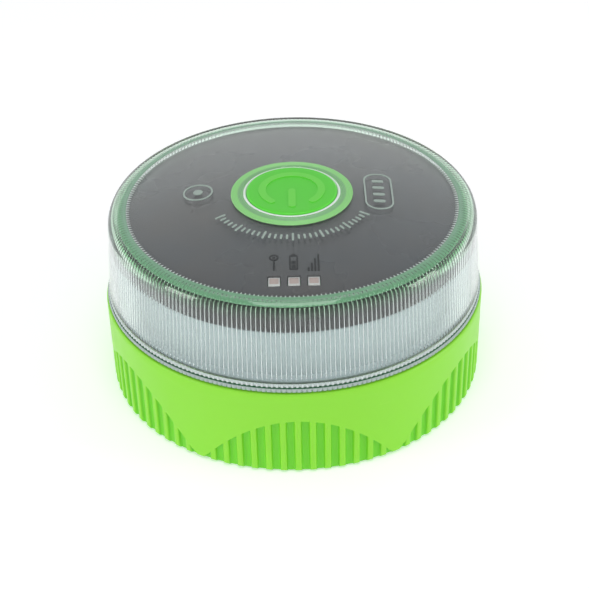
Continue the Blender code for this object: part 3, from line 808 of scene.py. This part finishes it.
# Lens cover: clear, with prism ribs up the inside of its wall and over the corner
lensCover = {
    "ribs": 250,
    "ribHeight": 0.36,
    "ribStart": 27.0,
    "ribEndRadius": 42.2,
    "beadHeight": 0.28,
    "spigot": (44.2, 46.2),
    "wallLow": (48.15, 26.2),
    "wallHigh": (46.9, 45.1),
    "wallThickness": 1.9,
    "corner": 3.9,
    "crownApex": lensHigh.z,
    "crownRadius": 303.0,
    "crownThickness": 1.8,
    "hole": 12.3,
    "flangeTop": 24.8,
    "flangeLip": ((48.2, 25.2), 0.4),
    "flatRows": (17.0, 24.0, 33.0, 40.5),
    "cornerRibs": ((80, 0.05), (64, 0.1), (48, 0.5), (32, 1.0), (16, 1.0)),
}


def crown(radius):
    # Height of the lens's top face.
    return lensCover["crownApex"] - radius * radius / (2 * lensCover["crownRadius"])


# One rib's section: each column's place across the pitch and its share of the rib's height.
ribSection = ((0.0, 0.0), (0.35, 0.0), (0.43, 0.75), (0.5, 1.0), (0.57, 0.75), (0.65, 0.0))


def lensRows():
    # Profile rows of the lens: radius, height, and the rib's push outwards and upwards.
    inner, outer = lensCover["spigot"]
    low, high = lensCover["wallLow"], lensCover["wallHigh"]
    thick, corner = lensCover["wallThickness"], lensCover["corner"]
    tall, hole, flange = lensCover["ribHeight"], lensCover["hole"], lensCover["flangeTop"]
    lip, lipRound = lensCover["flangeLip"]
    centre = (high[0] - corner, high[1])
    rows = [(inner, lensLow.z, 0.0, 0.0), (outer, lensLow.z, 0.0, 0.0), (outer, flange, 0.0, 0.0)]
    rows.append((lip[0] - 0.1, flange, 0.0, 0.0))
    rows += [(r, z, -lensCover["beadHeight"], 0.0) for r, z in arcPoints(lip, lipRound, -50, 50, 3)]
    plain = [(lip[0], lip[1] + 0.55), (lip[0] - 0.04, lip[1] + 0.85)]
    for share in (0.02, 0.35, 0.7):
        plain.append((low[0] + (high[0] - low[0]) * share, low[1] + (high[1] - low[1]) * share))
    plain += arcPoints(centre, corner, 0, 84, 10)
    flat = lensCover["flatRows"]
    plain += [(r, crown(r)) for r in (*flat[::-1], hole + 1.3)]
    plain += arcPoints((hole + 0.25, crown(hole) - 0.25), 0.25, 95, 180, 4)
    thickness = lensCover["crownThickness"]
    plain += [(r, crown(r) - thickness) for r in (hole, *flat)]
    rows += [(r, z, 0.0, 0.0) for r, z in plain]
    end = lensCover["ribEndRadius"]
    for r, share in ((end - 0.3, 0.0), (end, 0.05), (end + 0.4, 0.05)):
        rows.append((r, crown(r) - thickness, 0.0, -tall * share))
    for angle, share in lensCover["cornerRibs"]:
        across, up = polar(1.0, angle)
        r, z = centre[0] + (corner - thick) * across, centre[1] + (corner - thick) * up
        rows.append((r, z, -tall * share * across, -tall * share * up))
    start = lensCover["ribStart"]
    for z, share in ((45.0, 1), (39, 1), (33, 1), (start + 1, 1), (start + 0.4, 0.6), (start, 0)):
        r = low[0] - thick + (high[0] - low[0]) * (z - low[1]) / (high[1] - low[1])
        rows.append((r, z, -tall * share, 0.0))
    return rows + [(low[0] - thick, low[1], 0.0, 0.0), (inner + 0.3, 24.2, 0.0, 0.0)]


def makeLensCover():
    rows = lensRows()
    steps = lensCover["ribs"] * len(ribSection)
    bm = bmesh.new()
    row = spinProfile(bm, [(r, z) for r, z, _, _ in rows], steps, sectors=25)
    for vert in bm.verts:
        _, _, outward, up = rows[vert[row]]
        if outward or up:
            rib, column = divmod(round(angleOf(vert) * steps / 360) % steps, len(ribSection))
            across, share = ribSection[column]
            degrees = (rib + across) * 360 / lensCover["ribs"]
            setRadius(vert, vert.co.xy.length + outward * share, degrees)
            vert.co.z += up * share
    finishPiece(
        bm, "lensShell", "housing", "clear_plastic", lensPlastic, ["lens_cover"], sharp=62.0
    )


makeLensCover()

# Rib ends: fine pale points round the edge of the flat top where the ribs stop, a painted highlight
# of the clear rib ends
ribEndHighlights = {
    "ring": (42.16, 42.3),
    "tip": 41.2,
    "top": 0.05,
    "thickness": 0.14,
    "look": lookOf(
        (0.90, 0.93, 0.91), (0.84, 0.88, 0.86), (0.95, 0.96, 0.95), (0.3, 0.4),
        subsurface=0.3, depth=0.5,
    ),
}


def makeRibEndHighlights():
    inner, outer = ribEndHighlights["ring"]
    steps = lensCover["ribs"] * 4
    under = crown(inner) - lensCover["crownThickness"] - ribEndHighlights["top"]
    low = under - ribEndHighlights["thickness"]
    profile = [(inner, low), (outer, low), (outer, under), (inner, under)]
    bm = bmesh.new()
    row = spinProfile(bm, profile, steps, sectors=25)
    for vert in bm.verts:
        degrees = angleOf(vert)
        if vert[row] in (0, 3) and round(degrees * steps / 360) % 4 == 2:
            setRadius(vert, ribEndHighlights["tip"], degrees)
    # Painted highlight: the pale points stand for light caught by the clear rib ends.
    material = moulded("ribEndHighlightPaint", ribEndHighlights["look"])
    finishPiece(bm, "ribEndHighlights", "housing", "clear_plastic", material, sharp=40.0)


makeRibEndHighlights()

# Corner band: pale green sheet under the rounded corner, a painted reflection of green light from
# the base carried round the lens's corner
cornerReflectionBand = {
    "start": ((42.05, 47.13), (42.6, 47.06)),
    "reach": 1.62,
    "thickness": 0.12,
    "ends": (86, 52),
    "look": lookOf(
        (0.24, 0.43, 0.29), (0.20, 0.38, 0.25), (0.5, 0.7, 0.55), (0.5, 0.6),
        subsurface=0.3, bump=0.03,
    ),
}


def makeCornerReflectionBand():
    centre = (lensCover["wallHigh"][0] - lensCover["corner"], lensCover["wallHigh"][1])
    reach, thin = cornerReflectionBand["reach"], cornerReflectionBand["thickness"]
    high, low = cornerReflectionBand["ends"]
    profile = [*cornerReflectionBand["start"], *arcPoints(centre, reach, high, low, 6)]
    profile += arcPoints(centre, reach - thin, low, high, 6)
    profile += [(r, z - thin) for r, z in cornerReflectionBand["start"][::-1]]
    bm = bmesh.new()
    spinProfile(bm, profile, 240)
    # Painted reflection: the band's pale green stands for the base's green light seen round the
    # corner.
    material = moulded("cornerReflectionPaint", cornerReflectionBand["look"])
    finishPiece(bm, "cornerReflectionBand", "housing", "clear_plastic", material)


makeCornerReflectionBand()

# Lens foot: frosted beaded edge round the flange, the thin green edge of the seal above it, and
# a row of pale beads where the ribs meet the flange, painted highlights of the clear rib feet
lensFoot = {
    "beads": 250,
    "inner": 47.9,
    "outer": 48.62,
    "low": 24.95,
    "high": 25.9,
    "bead": 0.34,
    "seal": ((48.0, -0.1), (48.34, 0.0), (48.34, 0.2), (48.0, 0.26)),
    "rowOfBeads": ((47.9, 0.3), (48.3, 0.34), (48.34, 0.7), (48.28, 1.1), (47.9, 1.2)),
    "rowBead": 0.35,
    "edgeLook": lookOf(
        (0.40, 0.47, 0.45), (0.35, 0.42, 0.40), (0.6, 0.65, 0.63), (0.12, 0.25), bump=0.05
    ),
    # Painted highlight: the beads' pale colour stands for light caught where the clear ribs meet
    # the flange.
    "beadHighlightLook": lookOf(
        (0.62, 0.68, 0.67), (0.55, 0.61, 0.60), (0.8, 0.82, 0.82), (0.08, 0.16), bump=0.02
    ),
}


def beadedRing(name, profile, depths, look):
    # Presses the profile's outer rows in by four depths in turn, once for each bead.
    steps = lensFoot["beads"] * 4
    bm = bmesh.new()
    row = spinProfile(bm, profile, steps, sectors=25)
    for vert in bm.verts:
        degrees = angleOf(vert)
        depth = depths[round(degrees * steps / 360) % 4]
        if depth and 0 < vert[row] < len(profile) - 1:
            setRadius(vert, vert.co.xy.length - depth, degrees)
    finishPiece(bm, *name, moulded(*look), sharp=30.0)


def makeLensFoot():
    inner, outer, low, high = (lensFoot[key] for key in ("inner", "outer", "low", "high"))
    profile = [(inner, low), (outer - 0.1, low), (outer, low + 0.2)]
    profile += [(outer + 0.02, (low + high) / 2), (outer, high - 0.2)]
    profile += [(outer - 0.1, high), (inner, high)]
    depths = [lensFoot["bead"] * share for share in (0.0, 0.25, 1.0, 0.25)]
    place = ("housing", "clear_plastic")
    beadedRing(("lensFootEdge", *place), profile, depths, ("footPlastic", lensFoot["edgeLook"]))
    line = bmesh.new()
    spinProfile(line, [(r, high + rise) for r, rise in lensFoot["seal"]], 240)
    finishPiece(line, "sealEdge", "housing", "seal_rubber", sealRubber)
    profile = [(r, high + rise) for r, rise in lensFoot["rowOfBeads"]]
    depths = (lensFoot["rowBead"], lensFoot["rowBead"], 0.0, 0.0)
    beadedRing(("lensFootBeadHighlights", *place), profile, depths, ("beadHighlightPaint", lensFoot["beadHighlightLook"]))


makeLensFoot()


# Inner cover: black disc and skirt under the lens, with a window for each status light
innerCover = {
    "drop": 2.5,
    "thickness": 1.4,
    "skirtBottom": 39.8,
    "skirtOuter": 44.1,
    "hole": 12.4,
    "windowPitch": 4.7,
    "windowY": -35.3,
    "windowHalf": (1.62, 1.95),
    "shoulder": ((0.2, 44.3), (0.45, 45.0), (0.9, 45.5), (1.4, 45.85), (2.1, 46.1)),
    # Painted shade: the upright skirt is painted near-black, darker than the top disc.
    "skirtPaintedShade": (0.006, 0.007, 0.008),
    "skirtShadeZone": ((41.6, 42.4), (46.4, 45.6)),
}


def coverTop(radius):
    return crown(radius) - innerCover["drop"]


def makeInnerCover():
    outer = innerCover["skirtOuter"]
    bottom = innerCover["skirtBottom"]
    hole = innerCover["hole"]
    thick = innerCover["thickness"]
    profile = [(outer - 0.1, bottom), (outer, bottom + 0.1)]
    profile += [(outer - inset, z) for inset, z in innerCover["shoulder"]]
    profile += [(r, coverTop(r)) for r in (41.0, 36.0, 30.0, 24.0, 18.0, hole + 0.2)]
    profile += [(hole, coverTop(hole) - 0.2), (hole, coverTop(hole) - thick)]
    profile += [(r, coverTop(r) - thick) for r in (24.0, 36.0, 40.0)]
    profile += [(outer - 2.4, 44.7), (outer - 1.4, 43.9), (outer - 1.2, bottom)]
    bm = bmesh.new()
    spinProfile(bm, profile, 240)
    windows = bmesh.new()
    halfX, halfY = innerCover["windowHalf"]
    for side in (-1, 0, 1):
        spot = (side * innerCover["windowPitch"], innerCover["windowY"])
        roundedSlab(windows, halfX, halfY, 0.25, 43.0, 49.0, spot)
    made = combined(bm, ("DIFFERENCE", windows))
    # Painted shade: the skirt below the shoulder is tinted near-black.
    skirtShadeMask = ringMask(coverPlastic.node_tree, *innerCover["skirtShadeZone"])
    tintBase(coverPlastic, innerCover["skirtPaintedShade"], skirtShadeMask)
    finishPiece(made, "coverDisc", "housing", "black_plastic", coverPlastic, ["inner_cover"])


makeInnerCover()


# Diffuser sleeve: frosted tube round the lamp strip, with a lip low on its outside
sleeve = {"wall": 1.2, "edge": 0.2, "lipOuter": 46.0, "lip": (26.3, 26.5, 26.9, 27.1)}


def makeSleeve():
    outer = sleeveHigh.x
    low, high = sleeveLow.z, sleeveHigh.z
    inner, edge = outer - sleeve["wall"], sleeve["edge"]
    radii = (outer, sleeve["lipOuter"], sleeve["lipOuter"], outer)
    profile = [(outer - edge, low), (outer, low + edge), *zip(radii, sleeve["lip"])]
    profile += [(outer, high - edge), (outer - edge, high), (inner + edge, high)]
    profile += [(inner, high - edge), (inner, low + edge), (inner + edge, low)]
    bm = bmesh.new()
    spinProfile(bm, profile, 180)
    stands = ["diffuser_sleeve"]
    finishPiece(bm, "sleeveTube", "housing", "frosted_plastic", sleevePlastic, stands)


makeSleeve()


# Button: soft cap with a raised power symbol, in a pale ring
buttonCap = {
    "edgeRound": 0.55,
    "dish": 0.12,
    "dishRows": ((0.0, 1.0), (4.0, 0.85), (7.0, 0.55), (9.5, 0.12)),
    "wall": 1.4,
    "roof": 1.6,
    "plunger": 3.0,
    "symbolRise": 0.15,
    "symbolDepth": 0.6,
    "symbolRadius": 7.5,
    "symbolWidth": 1.85,
    "barHalf": 4.4,
    "barMiddle": -4.1,
    "gap": 43.0,
}


def makeButtonCap():
    outer = capHigh.x
    top = capHigh.z - buttonCap["symbolRise"]
    low = capLow.z
    curve = buttonCap["edgeRound"]
    roof = top - buttonCap["roof"]
    inner, plunger = outer - buttonCap["wall"], buttonCap["plunger"]
    profile = [(r, top - buttonCap["dish"] * share) for r, share in buttonCap["dishRows"]]
    profile += arcPoints((outer - curve, top - curve), curve, 90, 0, 6)
    profile += [(outer, low), (inner, low), (inner, roof)]
    profile += [(plunger, roof), (plunger, low), (0.0, low)]
    bm = bmesh.new()
    spinProfile(bm, profile, 128)
    slotName = "bright_green_silicone"
    finishPiece(bm, "buttonCap", "button", slotName, capSilicone, ["button_cap"], sharp=50.0)


def makeButtonSymbol():
    # Open ring and bar, both round-ended, standing a little proud of the cap.
    top = capHigh.z
    low = top - buttonCap["symbolDepth"]
    radius = buttonCap["symbolRadius"]
    half = buttonCap["symbolWidth"] / 2
    gap = buttonCap["gap"]
    bm, ends, bar = bmesh.new(), bmesh.new(), bmesh.new()
    near, far = radius - half, radius + half
    section = [(near, low), (far, low), (far, top), (near, top)]
    points = [bm.verts.new((r, 0.0, z)) for r, z in section]
    start = bm.faces.new(points)
    turn = Matrix.Rotation(math.radians(gap - 90), 4, "Z")
    bmesh.ops.transform(bm, verts=points, matrix=turn)
    sweep = {"cent": (0.0, 0.0, 0.0), "axis": (0.0, 0.0, 1.0), "angle": math.radians(360 - 2 * gap)}
    bmesh.ops.spin(bm, geom=points + start.edges[:], steps=96, **sweep)
    bmesh.ops.holes_fill(bm, edges=[edge for edge in bm.edges if len(edge.link_faces) == 1])
    for side in (-1, 1):
        roundRod(ends, half, low, top, polar(radius, -90 + side * gap), 40)
    spot = (0.0, buttonCap["barMiddle"])
    roundedSlab(bar, half, buttonCap["barHalf"], half * 0.98, low, top, spot, 10)
    made = combined(bm, ("UNION", ends), ("UNION", bar))
    slotName = "bright_green_silicone"
    finishPiece(made, "powerSymbol", "button", slotName, symbolSilicone, sharp=40.0, bevel=0.06)


makeButtonCap()
makeButtonSymbol()


# Pale ring under the lens, with fine turned rings on its top face and painted shade inside, where
# the button's side wall shades it
buttonRing = {
    "inner": 11.9,
    "rings": 9,
    "innerPaintedShade": (0.24, 0.50, 0.24),
    "innerShadeZone": ((13.9, 13.5), (0.0, 1.0)),
    "innerShadeAmount": 0.8,
}


def makeButtonRing():
    inner, outer = buttonRing["inner"], flangeHigh.x
    low, high = flangeLow.z, flangeHigh.z
    profile = [(inner, low), (outer, low), (outer, high - 0.1)]
    for number in range(buttonRing["rings"]):
        r = outer - 0.1 - number * (outer - inner - 0.3) / buttonRing["rings"]
        profile += [(r, high - 0.06), (r - 0.12, high), (r - 0.26, high - 0.02)]
    bm = bmesh.new()
    spinProfile(bm, profile + [(inner, high - 0.1)], 160)
    # Painted shade: the inner part of the ring is tinted darker green.
    ringShadeMask = ringMask(flangeSilicone.node_tree, *buttonRing["innerShadeZone"])
    tintBase(flangeSilicone, buttonRing["innerPaintedShade"], ringShadeMask, buttonRing["innerShadeAmount"])
    slotName, stands = "pale_green_silicone", ["button_flange"]
    finishPiece(bm, "buttonRing", "housing", slotName, flangeSilicone, stands, sharp=25.0)


makeButtonRing()

# Trim: soft ring that fills the gap between the cap and the lens, painted near-white as a highlight
# of the lens hole's rounded edge
holeEdgeHighlight = {
    "inner": 11.55,
    "outer": 12.28,
    "top": 0.03,
    "height": 1.5,
    "look": lookOf(
        (0.90, 0.94, 0.91), (0.84, 0.90, 0.86), (0.95, 0.97, 0.95), (0.12, 0.2),
        subsurface=0.5, bump=0.03,
    ),
}


def makeHoleEdgeHighlight():
    inner, outer = holeEdgeHighlight["inner"], holeEdgeHighlight["outer"]
    top = crown(lensCover["hole"]) - holeEdgeHighlight["top"]
    low = top - holeEdgeHighlight["height"]
    half = (outer - inner) / 2
    profile = [(outer, low), *arcPoints((inner + half, top - half), half, 0, 180, 8), (inner, low)]
    bm = bmesh.new()
    spinProfile(bm, profile, 160)
    # Painted highlight: the near-white colour stands for light caught by the lens hole's edge.
    material = moulded("holeHighlightPaint", holeEdgeHighlight["look"])
    finishPiece(bm, "holeEdgeHighlight", "housing", "clear_plastic", material)


makeHoleEdgeHighlight()


# Status lights: white package, pinkish window over the chip, notch in the front edge
statusLight = {
    "half": (1.4, 1.75),
    "window": (1.08, 1.22),
    "windowShift": 0.28,
    "well": 0.25,
    "notch": (0.5, 0.25, 0.1),
    "package": lookOf(
        (0.80, 0.76, 0.74), (0.74, 0.70, 0.69), (0.9, 0.9, 0.9), (0.3, 0.4),
        subsurface=0.4, grain=6000.0,
    ),
    "pane": lookOf(
        (0.66, 0.49, 0.46), (0.58, 0.42, 0.40), (0.8, 0.7, 0.68), (0.1, 0.2),
        subsurface=0.3, depth=0.6,
    ),
}


def makeStatusLights():
    package = moulded("ledPackage", statusLight["package"])
    glass = moulded("ledWindow", statusLight["pane"])
    halfX, halfY = statusLight["half"]
    wide, deep = statusLight["window"]
    for name, side in (("left", -1), ("middle", 0), ("right", 1)):
        low, high = nodeBox(f"status_led_{name}")
        x, y = (low.x + high.x) / 2, (low.y + high.y) / 2
        top = high.z
        spot = (x, y + statusLight["windowShift"])
        edge = (x + side * 0.2, y - halfY)
        bm, well, notch, pane = bmesh.new(), bmesh.new(), bmesh.new(), bmesh.new()
        roundedSlab(bm, halfX, halfY, 0.18, low.z, top, (x, y), 4)
        roundedSlab(well, wide, deep, 0.3, top - statusLight["well"], top + 1, spot, 6)
        roundedSlab(notch, *statusLight["notch"], top - 0.2, top + 1, edge, 3)
        roundedSlab(pane, wide + 0.02, deep + 0.02, 0.3, top - 0.4, top - 0.12, spot, 6)
        made = combined(bm, ("DIFFERENCE", well), ("DIFFERENCE", notch))
        place = ("housing", "led_package")
        finishPiece(
            made, f"statusBody_{name}", *place, package, [f"status_led_{name}"], bevel=0.08
        )
        finishPiece(pane, f"statusWindow_{name}", *place, glass, bevel=0.06)


makeStatusLights()


# Moulded marks: plain generic shapes lying on the lens top, and small signs beside the lights
marks = {
    "rise": 0.12,
    "sink": 0.15,
    "line": 0.42,
    "bars": (21.9, -0.3),
    "barCount": 4,
    "barPitch": 3.2,
    "dot": (-23.8, 1.4),
    "ticks": 31,
    "tickPitch": 3.9,
    "tickRadius": 20.9,
    "longEvery": 5,
    "look": lookOf(
        (0.38, 0.46, 0.41), (0.34, 0.42, 0.37), (0.6, 0.66, 0.62), (0.2, 0.3),
        subsurface=0.3, depth=0.5,
    ),
    "signs": 3.4,  # from the lights' middle to the foot of the signs
    "signLook": lookOf(
        (0.010, 0.010, 0.011), (0.014, 0.014, 0.015), (0.03, 0.03, 0.03), (0.6, 0.7), ior=1.2
    ),
}


def addShape(bm, shape):
    mesh = meshFrom(shape, "shape", 1.0)
    bm.from_mesh(mesh)
    bpy.data.meshes.remove(mesh)


def outlineRing(bm, halfX, halfY, line, corner, spot):
    # A flat frame: a rounded plate with its middle cut out.
    outer, inner = bmesh.new(), bmesh.new()
    roundedSlab(outer, halfX, halfY, corner, 0.0, 1.0, spot, 10)
    roundedSlab(inner, halfX - line, halfY - line, corner - line, -1.0, 2.0, spot, 10)
    addShape(bm, combined(outer, ("DIFFERENCE", inner)))


def layOnCrown(bm, drop):
    # Bends flat shapes between heights 0 and 1 onto the crown.
    for vert in bm.verts:
        base = crown(vert.co.xy.length) - drop
        vert.co.z = base - marks["sink"] + (marks["rise"] + marks["sink"]) * vert.co.z


def makeLensMarks():
    bm = bmesh.new()
    x, y = marks["bars"]
    outlineRing(bm, 3.6, 8.6, marks["line"], 3.4, (x, y))
    for number in range(marks["barCount"]):
        spot = (x, y - 4.8 + marks["barPitch"] * number)
        roundedSlab(bm, 1.5, 0.55, 0.5, 0.0, 1.0, spot, 6)
    outlineRing(bm, 3.8, 3.8, marks["line"], 3.7, marks["dot"])
    roundRod(bm, 1.2, 0.0, 1.0, marks["dot"], 32)
    middle = marks["ticks"] // 2
    for number in range(marks["ticks"]):
        tick = bmesh.new()
        half = 0.85 if number % marks["longEvery"] else 1.45
        roundedSlab(tick, half, 0.27, 0.25, 0.0, 1.0, segments=4)
        angle = math.radians(-90 + (number - middle) * marks["tickPitch"])
        out = Matrix.Translation((marks["tickRadius"], 0.0, 0.0))
        bmesh.ops.transform(tick, verts=tick.verts, matrix=Matrix.Rotation(angle, 4, "Z") @ out)
        addShape(bm, tick)
    layOnCrown(bm, 0.0)
    material = moulded("markPlastic", marks["look"])
    finishPiece(bm, "lensMarks", "housing", "clear_plastic", material, sharp=30.0)


def makeLightSigns():
    # Position pin, battery and signal bars, dull black on the cover.
    bm = bmesh.new()
    pitch = innerCover["windowPitch"]
    behind = innerCover["windowY"] + marks["signs"]
    outlineRing(bm, 1.15, 1.15, 0.4, 1.1, (-pitch, behind + 5.2))
    roundRod(bm, 0.36, 0.0, 1.0, (-pitch, behind + 5.2), 20)
    roundedSlab(bm, 0.24, 1.7, 0.2, 0.0, 1.0, (-pitch, behind + 2.2), 4)
    outlineRing(bm, 1.05, 2.7, 0.38, 0.5, (0.0, behind + 3.2))
    roundedSlab(bm, 0.45, 0.3, 0.1, 0.0, 1.0, (0.0, behind + 6.15), 2)
    for number in range(2):
        roundedSlab(bm, 0.5, 0.55, 0.1, 0.0, 1.0, (0.0, behind + 1.7 + 1.5 * number), 2)
    for number in range(4):
        half = 0.6 + 0.85 * number
        spot = (pitch - 1.2 + 0.8 * number, behind + half)
        roundedSlab(bm, 0.22, half, 0.1, 0.0, 1.0, spot, 2)
    layOnCrown(bm, innerCover["drop"])
    material = moulded("signPaint", marks["signLook"])
    finishPiece(bm, "lightSigns", "housing", "black_plastic", material)


makeLensMarks()
makeLightSigns()


# Inside parts keep their shapes and get worked finishes
def boardLaminate():
    # Green solder mask over a fine grid of copper tracks.
    solder = lookOf((0.012, 0.13, 0.045), (0.01, 0.10, 0.035), (0.3, 0.4, 0.3), (0.2, 0.35))
    made = moulded("boardLaminate", solder)
    tree = made.node_tree
    where = addNode(tree, "ShaderNodeTexCoord")
    grid = {"Scale": 260.0, "Mortar Size": 0.035, "Brick Width": 0.9, "Row Height": 0.3}
    grid.update({"Color1": (0, 0, 0, 1), "Color2": (0, 0, 0, 1), "Mortar": (1, 1, 1, 1)})
    tracks = addNode(tree, "ShaderNodeTexBrick", inputs=grid)
    wire(tree, (where, "Object", tracks, "Vector"))
    tintBase(made, (0.06, 0.28, 0.10), tracks.outputs["Fac"], 0.8)
    return made


def cellWrap():
    # Printed sleeve of a battery cell: dark blue with a copper band at one end.
    wrap = lookOf((0.03, 0.07, 0.22), (0.02, 0.05, 0.17), (0.3, 0.35, 0.5), (0.15, 0.28))
    made = moulded("cellWrap", wrap)
    tree = made.node_tree
    where = addNode(tree, "ShaderNodeTexCoord")
    split = addNode(tree, "ShaderNodeSeparateXYZ")
    band = addRange(tree, 11.0 * mm, 11.2 * mm)
    wire(tree, (where, "Object", split, 0), (split, "Y", band, 0))
    tintBase(made, (0.55, 0.30, 0.12), band.outputs[0])
    return made


chip = lookOf((0.02, 0.02, 0.022), (0.03, 0.03, 0.032), (0.15, 0.15, 0.15), (0.35, 0.5))
ceramic = lookOf((0.60, 0.52, 0.38), (0.52, 0.45, 0.33), (0.75, 0.7, 0.6), (0.3, 0.5))
lamp = lookOf((0.85, 0.62, 0.12), (0.8, 0.55, 0.09), (0.95, 0.85, 0.5), (0.15, 0.3))
film = lookOf((0.8, 0.8, 0.77), (0.74, 0.74, 0.70), (0.9, 0.9, 0.9), (0.25, 0.4))
redVinyl = lookOf((0.50, 0.015, 0.012), (0.42, 0.012, 0.01), (0.7, 0.2, 0.18), (0.3, 0.45))
insideFinishes = {
    "chassis": moulded("chassisPlastic", whitePlastic),
    "battery_tray": moulded("trayPlastic", blackPlastic),
    "door_gasket": moulded("gasketRubber", dict(blackRubber, bump=0.15)),
    "lens_seal": sealRubber,
    "contact_plate": metal("contactMetal", nickel),
    "magnet": metal("magnetMetal", dict(zincSteel, gloss=(0.08, 0.2))),
    "battery_cell": cellWrap(),
    "main_board": boardLaminate(),
    "status_board": boardLaminate(),
    "cellular_module": metal("canMetal", dict(zincSteel, brush=(900.0, 60.0, 900.0))),
    "positioning_antenna": moulded("antennaCeramic", ceramic),
    "controller_chip": moulded("chipPlastic", dict(chip, gloss=(0.3, 0.45))),
    "sim_chip": moulded("simPlastic", chip),
    "driver_chip": moulded("driverPlastic", chip),
    "switch_body": moulded("switchPlastic", dict(chip, gloss=(0.4, 0.55))),
    "switch_plunger": moulded("plungerPlastic", dict(whitePlastic, grain=4000.0)),
    "lamp_strip": moulded("stripFilm", film),
    "lamp_led": moulded("lampPackage", lamp),
    "lead_positive": moulded("redLead", redVinyl),
    "lead_negative": moulded("blackLead", dict(blackPlastic, gloss=(0.3, 0.45))),
}
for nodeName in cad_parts:
    kept = bpy.data.objects.get(nodeName)
    for start, finish in insideFinishes.items():
        if kept and nodeName.startswith(start):
            for holder in kept.material_slots:
                holder.material = finish
print("inside finishes given")


# Studio: pale floor, sky brighter near the ground, soft lamps
studio = {
    "floorHalf": 3.0,
    "floorColour": (0.93, 0.93, 0.93),
    "floorCloud": (0.92, 0.92, 0.92),
    "floorGlow": 0.32,
    "sky": ((0.0, (1.0, 1.0, 1.0)), (0.45, (0.76, 0.77, 0.78)), (0.85, (0.30, 0.31, 0.33))),
    "skyStrength": 1.0,
}


def makeFloor():
    bm = bmesh.new()
    bmesh.ops.create_grid(bm, x_segments=8, y_segments=8, size=studio["floorHalf"])
    mesh = bpy.data.meshes.new("floor")
    bm.to_mesh(mesh)
    bm.free()
    floor = addObject("floor", mesh)
    made, tree, shader = newMaterial("floorPaint")
    matt = {"Roughness": 0.9, "Specular IOR Level": 0.1, "Emission Color": (1.0, 1.0, 1.0, 1.0)}
    setInputs(shader, {**matt, "Emission Strength": studio["floorGlow"]})
    where = addNode(tree, "ShaderNodeTexCoord")
    cloud = addNoise(tree, 3.0, scale=3.0)
    wire(tree, (where, "Object", cloud, "Vector"))
    colour = mixColour(tree, studio["floorColour"], studio["floorCloud"], cloud.outputs["Fac"])
    tree.links.new(colour, shader.inputs["Base Color"])
    # Seen from below the floor is clear, so that the door shows.
    clearWhere(tree, addNode(tree, "ShaderNodeNewGeometry"), "Backfacing")
    mesh.materials.append(made)


def makeSky():
    world = bpy.data.worlds.new("studioSky")
    bpy.context.scene.world = world
    world.use_nodes = True
    tree = world.node_tree
    background = tree.nodes["Background"]
    where = addNode(tree, "ShaderNodeTexCoord")
    split = addNode(tree, "ShaderNodeSeparateXYZ")
    blend = addNode(tree, "ShaderNodeValToRGB")
    stops = blend.color_ramp.elements
    low, middle, high = studio["sky"]
    stops[0].position = low[0]
    stops[1].position = high[0]
    stops.new(middle[0])
    for stop, (_, colour) in zip(stops, studio["sky"]):
        stop.color = (*colour, 1)
    wire(tree, (where, "Generated", split, 0), (split, "Z", blend, 0))
    wire(tree, (blend, 0, background, "Color"))
    background.inputs["Strength"].default_value = studio["skyStrength"]


softLamps = {
    "left": {"spot": (-0.58, -0.25, 0.17), "size": (0.22, 0.26), "power": 0.75},
    "right": {"spot": (0.60, -0.13, 0.17), "size": (0.22, 0.26), "power": 0.75},
    "overhead": {"spot": (0.0, -0.30, 0.85), "size": (0.5, 0.3), "power": 2.0},
}


def makeLamps():
    for name, lamp in softLamps.items():
        light = bpy.data.lights.new(name, "AREA")
        light.shape = "RECTANGLE"
        light.size, light.size_y = lamp["size"]
        light.energy = lamp["power"]
        made = addObject(name, light)
        made.location = lamp["spot"]
        aim = Vector((0, 0, 0.02)) - Vector(lamp["spot"])
        made.rotation_euler = aim.to_track_quat("-Z", "Y").to_euler()


camera = {
    "distance": 0.4024,
    "height": 34.122,  # degrees above the horizon
    "pivot": 0.0245,
    "aim": (0.00002, 0.0, 0.01965),
    "lens": 93.63,
    "roll": 1.47,
}


def makeCamera():
    lens = bpy.data.cameras.new("camera")
    lens.lens = camera["lens"]
    lens.sensor_width = 36.0
    made = addObject("camera", lens)
    tilt = math.radians(camera["height"])
    away = Vector((0.0, -math.cos(tilt), math.sin(tilt))) * camera["distance"]
    made.location = Vector((0.0, 0.0, camera["pivot"])) + away
    look = (Vector(camera["aim"]) - made.location).to_track_quat("-Z", "Y")
    made.rotation_mode = "QUATERNION"
    made.rotation_quaternion = look @ Quaternion((0, 0, -1), math.radians(camera["roll"]))
    bpy.context.scene.camera = made


makeFloor()
makeSky()
makeLamps()
makeCamera()
bpy.context.scene.view_settings.view_transform = "Standard"
print("studio ready")
